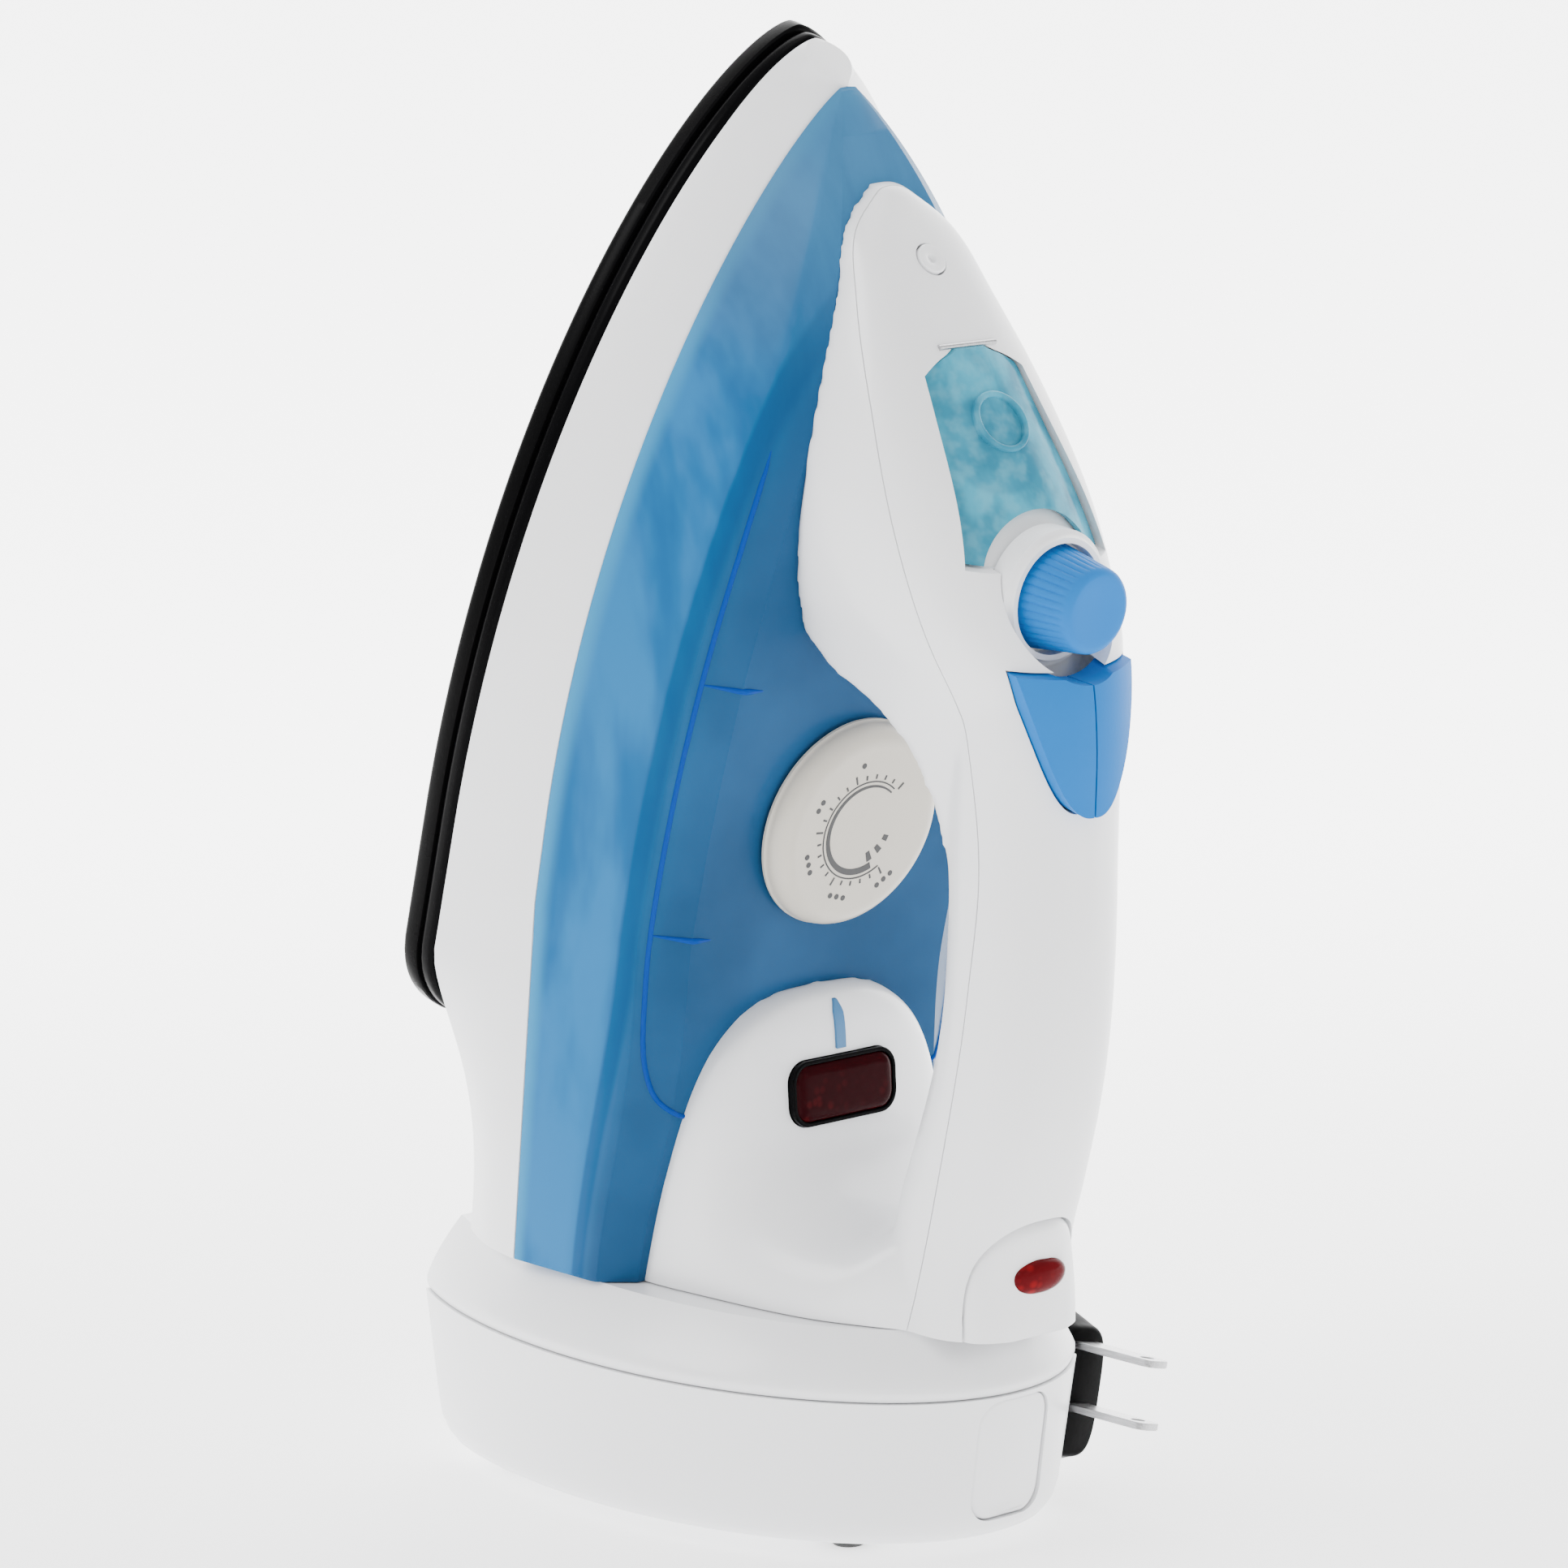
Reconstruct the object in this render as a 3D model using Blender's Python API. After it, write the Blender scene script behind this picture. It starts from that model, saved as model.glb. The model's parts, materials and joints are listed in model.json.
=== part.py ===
"""Steam iron with a cord reel in its heel, standing on the heel with its nose up.

The iron's body is drawn in its own frame, parented to the empty iron_frame: +X runs forward
from the rear of the soleplate to the nose, +Z rises from the sole to the handle, and the
plane Y = 0 is the plane of symmetry. The heel with its reel is drawn upright in the world frame.
"""
import math

import bmesh
import bpy
from mathutils import Matrix, Vector

# ---- Driving dimensions, in metres ----
LEAN = math.radians(15)  # of the sole from the vertical
GAP = 0.0003  # between pieces that touch
WALL = 0.0022  # of the moulded shells
RUN_CLEARANCE = 0.0005  # round a piece that slides or turns

SOLE_LENGTH = 0.212
SOLE_HALF_WIDTH = 0.0620
SOLE_SHARPNESS = 0.67  # of the nose: lower is blunter
NOSE_RUN = 0.160  # from the nose back to the widest place
SOLE_THICKNESS = 0.0047
BAND_HEIGHT = 0.0090  # top of the black band
VENT_RADIUS = 0.0016

BODY_REAR = -0.080  # where the body's lofts end, below the heel's seam
TANK_NOSE = 0.2045
TANK_HALF_WIDTH = 0.0535
TANK_FLOOR = 0.0200  # height at the nose
TANK_FLOOR_RISE = 0.045  # per metre towards the rear
DECK_HEIGHT = 0.0550
DECK_NOSE_DROP = 0.0340
DECK_REAR_RISE = 0.0040  # behind the dial, up to the rear housing
RISE_FRONT = 0.0390
RISE_RUN = 0.0150

DIAL_CENTRE = 0.0628
DIAL_RADIUS = 0.0220
DIAL_HEIGHT = 0.0058
SHAFT_RADIUS = 0.0030

HANDLE_HALF_WIDTH = 0.0175
HANDLE_HALF_HEIGHT = 0.0135
HANDLE_REAR = -0.062
HANDLE_FRONT = 0.126
POD_NOSE = 0.190
POD_REAR = 0.097

KNOB_CENTRE = (0.1276, 0.0995)
KNOB_TILT = math.radians(7.6)
KNOB_BASE_RADIUS = 0.0105
KNOB_TOP_RADIUS = 0.0078
KNOB_HEIGHT = 0.0130
COLLAR_RADIUS = 0.0135

BUTTON_FRONT = 0.1165
BUTTON_REAR = 0.0905
BUTTON_HALF_WIDTH = 0.0150
PUMP_RADIUS = 0.0042

LID_FRONT = 0.1665
LID_REAR = 0.1335
LID_THICKNESS = 0.0020
LID_PIN_RADIUS = 0.0006
LID_SWING_ROOM = 0.0020
INLET_CENTRE = 0.154
INLET_RADIUS = 0.0070

WINDOW_SIZE = (0.0138, 0.0284)
WINDOW_CENTRE = (0.0096, 0.0687)
WINDOW_SLOPE = math.radians(17.6)


HEEL_FRONT = 0.0670  # where the heel ends on the handle's side, in the world's X
HEEL_REAR = -0.0705  # the flat end on the sole's side
HEEL_WIDEST = -0.0140
HEEL_HALF_WIDTH = 0.0515
HEEL_REAR_RUN = 0.086
HEEL_BOTTOM = 0.0030
HEEL_RIM = 0.0350
RIM_SLOPE = -0.020
SEAM_HEIGHT = 0.0493  # where body and heel meet, above X = 0
SEAM_SLOPE = -0.045
HEEL_WALL = 0.0024

REEL_CENTRE = (-0.008, 0.0)
REEL_RADIUS = 0.0410
HUB_RADIUS = 0.0160
REEL_LOW = 0.0115
REEL_HEIGHT = 0.0215
FLANGE = 0.0016
WOUND_RADIUS = 0.0380
AXLE_RADIUS = 0.0040
CORD_RADIUS = 0.0030
LEAD_HEIGHT = 0.0255

NOTCH_REAR = 0.0275
NOTCH_FLOOR = 0.0275
PLUG_ROLL = math.radians(-12)
PLUG_LENGTH = 0.0165
PLUG_HALF_HEIGHT = 0.01455
PLUG_DROP = 0.0033  # of the body's middle below the blades'
PLUG_HALF_THICKNESS = 0.0068
BLADE_SPACING = 0.0127
BLADE_SIZE = (0.0215, 0.0063, 0.0015)

# ---- The place of the iron's frame in the world ----
CENTRING = -0.0099  # moves everything so that the object's box is centred over the origin
FRAME_ORIGIN = Vector((-0.0532 + CENTRING, 0.0, 0.0956))
FORWARD = Vector((math.sin(LEAN), 0.0, math.cos(LEAN)))
UPWARD = Vector((math.cos(LEAN), 0.0, -math.sin(LEAN)))

COLOURS = {
    "white_plastic": ((0.90, 0.90, 0.91), 0.25, 0.0),
    "warm_white": ((0.90, 0.88, 0.85), 0.3, 0.0),
    "blue_tank": ((0.16, 0.42, 0.68), 0.12, 0.0),
    "teal_lid": ((0.25, 0.52, 0.66), 0.12, 0.0),
    "blue_plastic": ((0.22, 0.48, 0.85), 0.35, 0.0),
    "black_plastic": ((0.012, 0.012, 0.013), 0.3, 0.0),
    "coated_sole": ((0.05, 0.05, 0.055), 0.3, 0.2),
    "cast_aluminium": ((0.60, 0.60, 0.61), 0.5, 1.0),
    "steel": ((0.55, 0.55, 0.56), 0.35, 1.0),
    "brass": ((0.72, 0.55, 0.25), 0.35, 1.0),
    "rubber": ((0.03, 0.03, 0.03), 0.8, 0.0),
    "dark_red": ((0.12, 0.008, 0.010), 0.1, 0.0),
    "red_lens": ((0.50, 0.012, 0.02), 0.1, 0.0),
    "lamp_glass": ((0.85, 0.55, 0.40), 0.1, 0.0),
    "clear_hose": ((0.80, 0.82, 0.82), 0.3, 0.0),
}


# ---- Curves that the body follows ----
def nose_curve(share, sharpness=0.78):
    """Half width as a share of the widest, from the nose (0) to the widest place (1)."""
    share = min(max(share, 0.0), 1.0)
    return (1 - (1 - share) ** 2) ** sharpness


def smooth(value):
    value = min(max(value, 0.0), 1.0)
    return value * value * (3 - 2 * value)


def along(points, x):
    """Height of a smooth line through (x, height) points given in falling x."""
    if x >= points[0][0]:
        return points[0][1]
    for (x1, y1), (x0, y0) in zip(points, points[1:]):
        if x >= x0:
            return y0 + (y1 - y0) * (x - x0) / (x1 - x0)
    return points[-1][1]


def sole_half_width(x):
    return SOLE_HALF_WIDTH * nose_curve((SOLE_LENGTH - x) / NOSE_RUN, SOLE_SHARPNESS)


def skirt_half_width(x):
    """Of the white skirt where it meets the black band. It narrows into the heel."""
    narrowing = 0.0235 * (1 - math.exp(-(max(0.025 - x, 0.0) / 0.033) ** 1.5))
    return sole_half_width(x) - 0.0008 * smooth((SOLE_LENGTH - x) / 0.02) - narrowing


def tank_half_width(x):
    front = TANK_HALF_WIDTH * nose_curve((TANK_NOSE - x) / (NOSE_RUN - 0.010))
    return front - 0.09 * max(0.040 - x, 0.0)


def tank_floor(x):
    return TANK_FLOOR + TANK_FLOOR_RISE * (SOLE_LENGTH - x)


def deck_height(x):
    rise = DECK_REAR_RISE * smooth((RISE_FRONT - x) / RISE_RUN)
    return DECK_HEIGHT + rise - DECK_NOSE_DROP * (max(x - 0.100, 0.0) / 0.1045) ** 3.2


def shoulder_height(x):
    return tank_floor(x) + 0.80 * (deck_height(x) - tank_floor(x))


def shoulder_share(x):
    """Of the tank's half width at its floor, as deck_share is."""
    return 0.85 + 0.10 * smooth((0.030 - x) / 0.060)


def deck_share(x):
    return 0.66 + 0.14 * smooth((0.030 - x) / 0.060)


RIDGE = (
    (0.190, 0.0385), (0.180, 0.051), (0.168, 0.064), (0.156, 0.0765), (0.142, 0.091), (0.129, 0.102),
    (0.118, 0.110), (0.105, 0.115), (0.090, 0.1185), (0.079, 0.121), (0.062, 0.125), (0.045, 0.128),
    (0.029, 0.1295), (0.012, 0.1295), (0.0, 0.1285), (-0.013, 0.1325), (-0.062, 0.1450),
)
SEAM = (
    (0.200, 0.030), (0.175, 0.048), (0.153, 0.067), (0.127, 0.0855), (0.105, 0.099), (0.081, 0.1095),
    (0.057, 0.1135), (0.018, 0.1155), (-0.090, 0.1155),
)
POD_WIDTH = (
    (0.190, 0.0030), (0.183, 0.0125), (0.173, 0.0168), (0.158, 0.0225), (0.144, 0.0255), (0.130, 0.0262),
    (0.117, 0.0245), (0.107, 0.0200), (0.097, 0.0130),
)


def ridge_height(x):
    return along(RIDGE, x)


# ---- Building blocks ----
def material(name):
    if name in bpy.data.materials:
        return bpy.data.materials[name]
    colour, roughness, metallic = COLOURS[name]
    made = bpy.data.materials.new(name)
    made.use_nodes = True
    shader = made.node_tree.nodes["Principled BSDF"]
    shader.inputs["Base Color"].default_value = (*colour, 1)
    shader.inputs["Roughness"].default_value = roughness
    shader.inputs["Metallic"].default_value = metallic
    made.diffuse_color = (*colour, 1)
    return made


def body(name, mesh, finish, parent=None, at=(0, 0, 0), turn=(0, 0, 0)):
    """An object of its own from a bmesh, with its own material and place."""
    bmesh.ops.remove_doubles(mesh, verts=mesh.verts, dist=1e-6)
    bmesh.ops.recalc_face_normals(mesh, faces=mesh.faces)
    data = bpy.data.meshes.new(name)
    mesh.to_mesh(data)
    mesh.free()
    data.shade_smooth()
    data.set_sharp_from_angle(angle=math.radians(35))
    made = bpy.data.objects.new(name, data)
    bpy.context.collection.objects.link(made)
    made.location = at
    made.rotation_euler = turn
    made.parent = parent
    made.data.materials.append(material(finish))
    return made


def helper(name, mesh, parent=None, at=(0, 0, 0), turn=(0, 0, 0)):
    made = body(name, mesh, "white_plastic", parent, at, turn)
    made.hide_render = True
    made.display_type = "WIRE"
    return made


def combine(target, tool, operation="DIFFERENCE"):
    step = target.modifiers.new(tool.name, "BOOLEAN")
    step.operation = operation
    step.solver = "EXACT"
    step.object = tool
    return target


def layered(levels, stations):
    """A closed hull: each level maps a station from 0 (front) to 1 (rear) to a point (x, half width, z)."""
    mesh = bmesh.new()
    left, right = [], []
    for level in levels:
        near, far = [], []
        for station in stations:
            x, y, z = level(station)
            first = mesh.verts.new((x, y, z))
            near.append(first)
            far.append(first if station == stations[0] else mesh.verts.new((x, -y, z)))
        left.append(near)
        right.append(far)
    last = len(stations) - 1
    for lower, upper in zip(range(len(levels)), range(1, len(levels))):
        for side in (left, right):
            for i in range(last):
                mesh.faces.new((side[lower][i], side[lower][i + 1], side[upper][i + 1], side[upper][i]))
        mesh.faces.new((left[lower][last], right[lower][last], right[upper][last], left[upper][last]))
    for level in (0, -1):
        near, far = left[level], right[level]
        mesh.faces.new((near[0], near[1], far[1]))
        for i in range(1, last):
            mesh.faces.new((near[i], near[i + 1], far[i + 1], far[i]))
    return mesh


def loft(rings):
    """A closed hull through rings that have the same number of points."""
    mesh = bmesh.new()
    rows = [[mesh.verts.new(point) for point in ring] for ring in rings]
    count = len(rows[0])
    for lower, upper in zip(rows, rows[1:]):
        for i in range(count):
            j = (i + 1) % count
            mesh.faces.new((lower[i], lower[j], upper[j], upper[i]))
    mesh.faces.new(rows[0])
    mesh.faces.new(rows[-1])
    return mesh


def prism(outline, low, high, axis="Z"):
    """The outline's points (u, v) extruded from low to high along an axis."""
    place = {
        "Z": lambda u, v, w: (u, v, w),
        "Y": lambda u, v, w: (u, w, v),
        "X": lambda u, v, w: (w, u, v),
    }[axis]
    return loft([[place(u, v, w) for u, v in outline] for w in (low, high)])


def box(low, high):
    return prism(((low[0], low[1]), (high[0], low[1]), (high[0], high[1]), (low[0], high[1])), low[2], high[2])


def turned(profile, sides=32):
    """A closed profile of (radius, z) points turned about Z."""
    mesh = bmesh.new()
    on_axis = [radius < 1e-7 for radius, _ in profile]
    rows = []
    for step in range(sides):
        angle = 2 * math.pi * step / sides
        row = []
        for index, (radius, z) in enumerate(profile):
            if on_axis[index] and step:
                row.append(rows[0][index])
            else:
                row.append(mesh.verts.new((radius * math.cos(angle), radius * math.sin(angle), z)))
        rows.append(row)
    count = len(profile)
    for step in range(sides):
        here, there = rows[step], rows[(step + 1) % sides]
        for i in range(count):
            j = (i + 1) % count
            corners = []
            for vertex in (here[i], here[j], there[j], there[i]):
                if vertex not in corners:
                    corners.append(vertex)
            if len(corners) > 2:
                mesh.faces.new(corners)
    return mesh


def disc(radius, low, high, sides=32):
    return turned(((0, low), (radius, low), (radius, high), (0, high)), sides)


def ring(inner, outer, low, high, sides=32):
    return turned(((inner, low), (outer, low), (outer, high), (inner, high)), sides)


def ellipse(count, width, height, power=2.0):
    points = []
    for i in range(count):
        angle = 2 * math.pi * i / count
        c, s = math.cos(angle), math.sin(angle)
        points.append(
            (width * math.copysign(abs(c) ** (2 / power), c), height * math.copysign(abs(s) ** (2 / power), s))
        )
    return points


def rounded(width, height, radius, steps=4):
    """Corner-rounded rectangle about the origin, as (u, v) points."""
    points = []
    for quarter, (sx, sy) in enumerate(((1, 1), (-1, 1), (-1, -1), (1, -1))):
        for step in range(steps + 1):
            angle = math.pi / 2 * (quarter + step / steps)
            points.append(
                (
                    sx * (width / 2 - radius) + radius * math.cos(angle),
                    sy * (height / 2 - radius) + radius * math.sin(angle),
                )
            )
    return points


def tube_along(name, points, radius, finish, parent=None):
    """A round bar along a smooth path, as a curve with filled caps."""
    curve = bpy.data.curves.new(name, "CURVE")
    curve.dimensions = "3D"
    curve.bevel_depth = radius
    curve.bevel_resolution = 2
    curve.use_fill_caps = True
    spline = curve.splines.new("POLY")
    spline.points.add(len(points) - 1)
    for target, point in zip(spline.points, points):
        target.co = (*point, 1)
    made = bpy.data.objects.new(name, curve)
    bpy.context.collection.objects.link(made)
    made.parent = parent
    curve.materials.append(material(finish))
    return made


def bezier(a, b, c, d, count):
    """Points on a cubic curve between a and d."""
    a, b, c, d = (Vector(p) for p in (a, b, c, d))
    points = []
    for i in range(count):
        t = i / (count - 1)
        points.append(a * (1 - t) ** 3 + b * 3 * t * (1 - t) ** 2 + c * 3 * t * t * (1 - t) + d * t**3)
    return points


def spread(count, bend=1.6):
    """Stations from 0 to 1, closer together near the front."""
    return [(i / count) ** bend for i in range(count + 1)]


# ---- Sole and heating ----
def sole_level(inset, z, rear=0.0):
    """Outline of the soleplate, drawn in by an inset, at a height."""
    corner = 0.013
    front = SOLE_LENGTH - 2.2 * inset

    def point(station):
        x = front - (front - rear - inset) * station
        width = (SOLE_HALF_WIDTH - inset) * nose_curve((front - x) / (NOSE_RUN - 1.2 * inset), SOLE_SHARPNESS)
        into = max(rear + inset + corner - x, 0.0) / corner
        width -= corner * (1 - math.sqrt(max(1 - into * into, 0.0)))
        return x, width, z

    return point


def round_rear(count):
    """Stations that also gather at the rear corner's arc."""
    front = spread(count)
    return front[:-1] + [0.955, 0.975, 0.99, 1.0]


def make_sole(iron):
    stations = sorted(set(s for s in round_rear(18) if s < 0.955 or s in (0.955, 0.975, 0.99, 1.0)))
    sole = body(
        "soleplate",
        layered([sole_level(0.0012, 0.0), sole_level(0.0, 0.0014), sole_level(0.0, SOLE_THICKNESS)], stations),
        "coated_sole",
        iron,
    )
    vents = [(0.186, 0.0), (0.170, 0.014), (0.148, 0.024), (0.120, 0.033), (0.088, 0.038), (0.056, 0.040)]
    for index, (x, y) in enumerate(vents):
        for side in (1, -1) if y else (1,):
            vent = helper(f"cut_vent_{index}_{side}", disc(VENT_RADIUS, -0.002, 0.008, 12), iron, (x, side * y, 0))
            combine(sole, vent)
    low = SOLE_THICKNESS + GAP
    band = body(
        "sole_band",
        layered([sole_level(0.0004, low), sole_level(0.0004, BAND_HEIGHT)], stations),
        "black_plastic",
        iron,
    )
    inside = layered([sole_level(0.009, 0.0), sole_level(0.009, 0.02)], spread(14))
    combine(band, helper("cut_band", inside, iron))


def make_heater(iron):
    low = SOLE_THICKNESS + GAP
    block = [sole_level(0.024, z, 0.012) for z in (low, 0.0170)]
    body("heater_casting", layered(block, spread(14)), "cast_aluminium", iron)
    cover_low = 0.0170 + GAP
    plate = [sole_level(0.026, z, 0.014) for z in (cover_low, cover_low + 0.0015)]
    body("steam_chamber_cover", layered(plate, spread(14)), "steel", iron)
    radius = 0.0033
    run = sole_level(0.0155, low + radius + GAP, 0.010)
    path = [run(s) for s in [i / 20 for i in range(1, 20)]]
    near = [Vector(p) for p in reversed(path)]
    far = [Vector((p.x, -p.y, p.z)) for p in reversed(near)]
    tube_along("heating_element", near + far, radius, "steel", iron)
    seat = cover_low + 0.0015 + GAP
    profile = (
        (0, seat), (0.0115, seat), (0.0115, seat + 0.0035), (0.0060, seat + 0.0035), (0.0060, seat + 0.0055),
        (0, seat + 0.0055),
    )
    body("thermostat", turned(profile), "brass", iron, (DIAL_CENTRE, 0, 0))
    body("thermal_fuse", box((0.020, -0.0055, seat), (0.034, 0.0055, seat + 0.0050)), "lamp_glass", iron)


# ---- Skirt and tank ----
def skirt_level(share, inset, z, front_trim=0.0):
    """Outline of the skirt between the band (share 0) and the tank (share 1)."""
    nose = (1 - share) * (SOLE_LENGTH - 0.0012) + share * TANK_NOSE - 2.2 * inset - front_trim

    def point(station):
        x = nose - (nose - BODY_REAR) * station
        lower = skirt_half_width(x + 0.0012)
        upper = tank_half_width(x)
        width = (1 - share) * lower + share * upper
        width = max(width - inset, 0.0012 * station**0.5)
        return x, width if station else 0.0, z(x)

    return point


def make_skirt(iron, below_seam):
    outer = [
        skirt_level(0.0, 0.0, lambda x: BAND_HEIGHT + GAP),
        skirt_level(0.45, -0.0008, lambda x: 0.55 * (BAND_HEIGHT + GAP) + 0.45 * tank_floor(x)),
        skirt_level(1.0, 0.0, tank_floor),
    ]
    skirt = body("skirt", layered(outer, spread(20)), "white_plastic", iron)
    floor = BAND_HEIGHT + GAP + WALL
    inner = [
        skirt_level(0.1, WALL, lambda x: floor),
        skirt_level(1.0, WALL, tank_floor),
        skirt_level(1.0, WALL, lambda x: tank_floor(x) + 0.006),
    ]
    combine(skirt, helper("cut_skirt", layered(inner, spread(20)), iron))
    opening = layered([sole_level(0.0090, z, 0.004) for z in (0.0, floor + 0.001)], spread(14))
    combine(skirt, helper("cut_skirt_floor", opening, iron))
    combine(skirt, below_seam)


def tank_level(share, inset, z, draw_in=0.0):
    nose = TANK_NOSE - draw_in - 2.2 * inset

    def point(station):
        x = nose - (nose - BODY_REAR - inset) * station
        width = share(x) * tank_half_width(x - 0.001) - inset
        return x, max(width, 0.0008 * station**0.5) if station else 0.0, z(x)

    return point


def whole(x):
    return 1.0


def make_tank(iron, below_seam):
    outer = [
        tank_level(whole, 0.0, lambda x: tank_floor(x) + GAP),
        tank_level(shoulder_share, 0.0, shoulder_height, 0.0005),
        tank_level(deck_share, 0.0, deck_height, 0.0012),
    ]
    tank = body("water_tank", layered(outer, spread(28)), "blue_tank", iron)
    inner = [
        tank_level(whole, WALL, lambda x: tank_floor(x) + GAP + WALL),
        tank_level(shoulder_share, WALL, lambda x: shoulder_height(x) - WALL / 2, 0.0005),
        tank_level(deck_share, WALL, lambda x: max(deck_height(x) - WALL, tank_floor(x) + 2 * WALL), 0.0012),
    ]
    cavity = helper("cut_tank", layered(inner, spread(18)), iron)
    boss = helper("tank_boss", disc(SHAFT_RADIUS + 0.0040, 0.0, 0.1), iron, (DIAL_CENTRE, 0, 0))
    rear_wall = box((BODY_REAR - 0.02, -0.1, 0.0), (-0.026, 0.1, 0.1))
    combine(cavity, boss)
    combine(cavity, helper("tank_rear_wall", rear_wall, iron))
    combine(tank, cavity)
    bore = disc(SHAFT_RADIUS + RUN_CLEARANCE, 0.0, 0.1)
    combine(tank, helper("cut_shaft_bore", bore, iron, (DIAL_CENTRE, 0, 0)))
    filler = disc(INLET_RADIUS - WALL / 2 + GAP, 0.03, 0.07)
    combine(tank, helper("cut_filler", filler, iron, (INLET_CENTRE - 0.008, 0, 0)))
    drip = disc(0.0030, 0.0, 0.034, 16)
    combine(tank, helper("cut_drip", drip, iron, (KNOB_CENTRE[0] - 0.0088, 0, 0)))
    rod_hole = disc(0.0026, 0.04, 0.07, 16)
    combine(tank, helper("cut_rod", rod_hole, iron, (KNOB_CENTRE[0] - 0.006, 0, 0)))
    combine(tank, below_seam)


# ---- Rear housing ----
HOUSING_LEVELS = (  # height, front end, half width
    (DECK_HEIGHT + DECK_REAR_RISE + GAP, 0.0315, 0.0360),
    (0.0646, 0.0246, 0.0355),
    (0.0668, 0.0160, 0.0350),
    (0.0690, 0.0085, 0.0345),
    (0.0715, 0.0015, 0.0340),
    (0.0770, -0.0040, 0.0330),
    (0.0880, -0.0070, 0.0308),
    (0.0980, -0.0060, 0.0280),
    (0.1060, -0.0003, 0.0240),
    (0.1152, -0.0003, 0.0185),
)


def housing_level(height, front, half_width, inset, below=0.0):
    middle = -0.030
    front = front - inset
    half_width = half_width - inset

    def point(station):
        turn = min(station / 0.7, 1.0) * math.pi / 2
        x = middle + (front - middle) * max(math.cos(turn), 0.0) ** 0.7
        if station > 0.7:
            x = middle + (BODY_REAR - middle) * (station - 0.7) / 0.3
        return x, half_width * math.sin(turn) ** 0.75, max(height, deck_height(x) + GAP) - below

    return point


def make_rear_housing(iron, below_seam):
    stations = [i / 22 for i in range(23)]
    outer = [housing_level(h, f, w, 0.0) for h, f, w in HOUSING_LEVELS]
    housing = body("rear_housing", layered(outer, stations), "white_plastic", iron)
    inner = [housing_level(h - 1.2 * WALL, f, w, WALL) for h, f, w in HOUSING_LEVELS[1:-2]]
    inner += [housing_level(h, f, w, WALL) for h, f, w in HOUSING_LEVELS[-2:]]
    inner.insert(0, housing_level(0.0, HOUSING_LEVELS[0][1] - 0.004, HOUSING_LEVELS[0][2], WALL, 0.002))
    inner.append(housing_level(0.120, *HOUSING_LEVELS[-1][1:], WALL))
    combine(housing, helper("cut_housing", layered(inner, stations), iron))
    x, z = WINDOW_CENTRE
    opening = prism(rounded(*WINDOW_SIZE, 0.0045), -0.008, 0.008)
    combine(housing, helper("cut_window", opening, iron, (x, 0, z), (0, WINDOW_SLOPE, 0)))
    combine(housing, below_seam)
    pane = prism(rounded(WINDOW_SIZE[0] - 2 * GAP, WINDOW_SIZE[1] - 2 * GAP, 0.0042), -0.0020, 0.0008)
    body("pilot_window", pane, "dark_red", iron, (x, 0, z), (0, WINDOW_SLOPE, 0))
    bulb = turned(((0, -0.007), (0.0028, -0.007), (0.0028, 0.004), (0.0014, 0.006), (0, 0.006)), 16)
    body("pilot_lamp", bulb, "lamp_glass", iron, (x - 0.004, 0, z - 0.0052), (math.pi / 2, 0, 0))


# ---- Dial ----
def make_dial(iron):
    low = DECK_HEIGHT + GAP + 0.0002
    top = low + DIAL_HEIGHT
    profile = (
        (SHAFT_RADIUS + GAP, low), (DIAL_RADIUS - 0.0006, low), (DIAL_RADIUS, low + 0.0012),
        (DIAL_RADIUS - 0.0030, top - 0.0006), (DIAL_RADIUS - 0.0045, top), (0, top), (0, top - 0.0022),
        (SHAFT_RADIUS + GAP, top - 0.0022),
    )
    body("temperature_dial", turned(profile, 64), "warm_white", iron, (DIAL_CENTRE, 0, 0))
    stem_low = 0.0170 + 0.0015 + 2 * GAP + 0.0055 + GAP
    body("dial_shaft", disc(SHAFT_RADIUS, stem_low, top - 0.0022 - GAP, 20), "steel", iron, (DIAL_CENTRE, 0, 0))


# ---- Handle ----
def pod_level(share, width_share, inset):
    """Level of the front pod between the deck (share 0) and the ridge (share 1)."""
    nose = POD_NOSE - 3.0 * inset
    rear = POD_REAR + (0.5 * inset if inset else 0.0)

    def point(station):
        x = nose - (nose - rear) * station
        width = width_share * along(POD_WIDTH, x + 2.0 * inset * (1 - station)) - inset
        low = deck_height(x) + GAP
        high = ridge_height(x) - inset * 1.3
        return x, max(width, 0.001) if station else 0.0, low + share * (high - low)

    return point


def grip_rings(inset):
    rings = []
    count = 16
    steps = 24
    for step in range(steps + 1):
        x = HANDLE_FRONT + (HANDLE_REAR - HANDLE_FRONT) * step / steps
        top = ridge_height(x) - inset
        half_height = HANDLE_HALF_HEIGHT + 0.0018 * smooth((0.05 - x) / 0.05) - inset
        half_width = HANDLE_HALF_WIDTH + 0.0015 * smooth((0.0 - x) / 0.05) - inset
        centre = top - half_height
        rings.append([(x, y, centre + z) for y, z in ellipse(count, half_width, half_height, 2.5)])
    return rings


def seam_prism(above):
    edge = [(x, z + (-GAP / 2 if above else GAP / 2)) for x, z in SEAM]
    far = 0.30 if above else -0.05
    outline = edge + [(SEAM[-1][0], far), (SEAM[0][0] + 0.02, far), (SEAM[0][0] + 0.02, edge[0][1] - 0.01)]
    return prism(outline, -0.08, 0.08, "Y")


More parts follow.
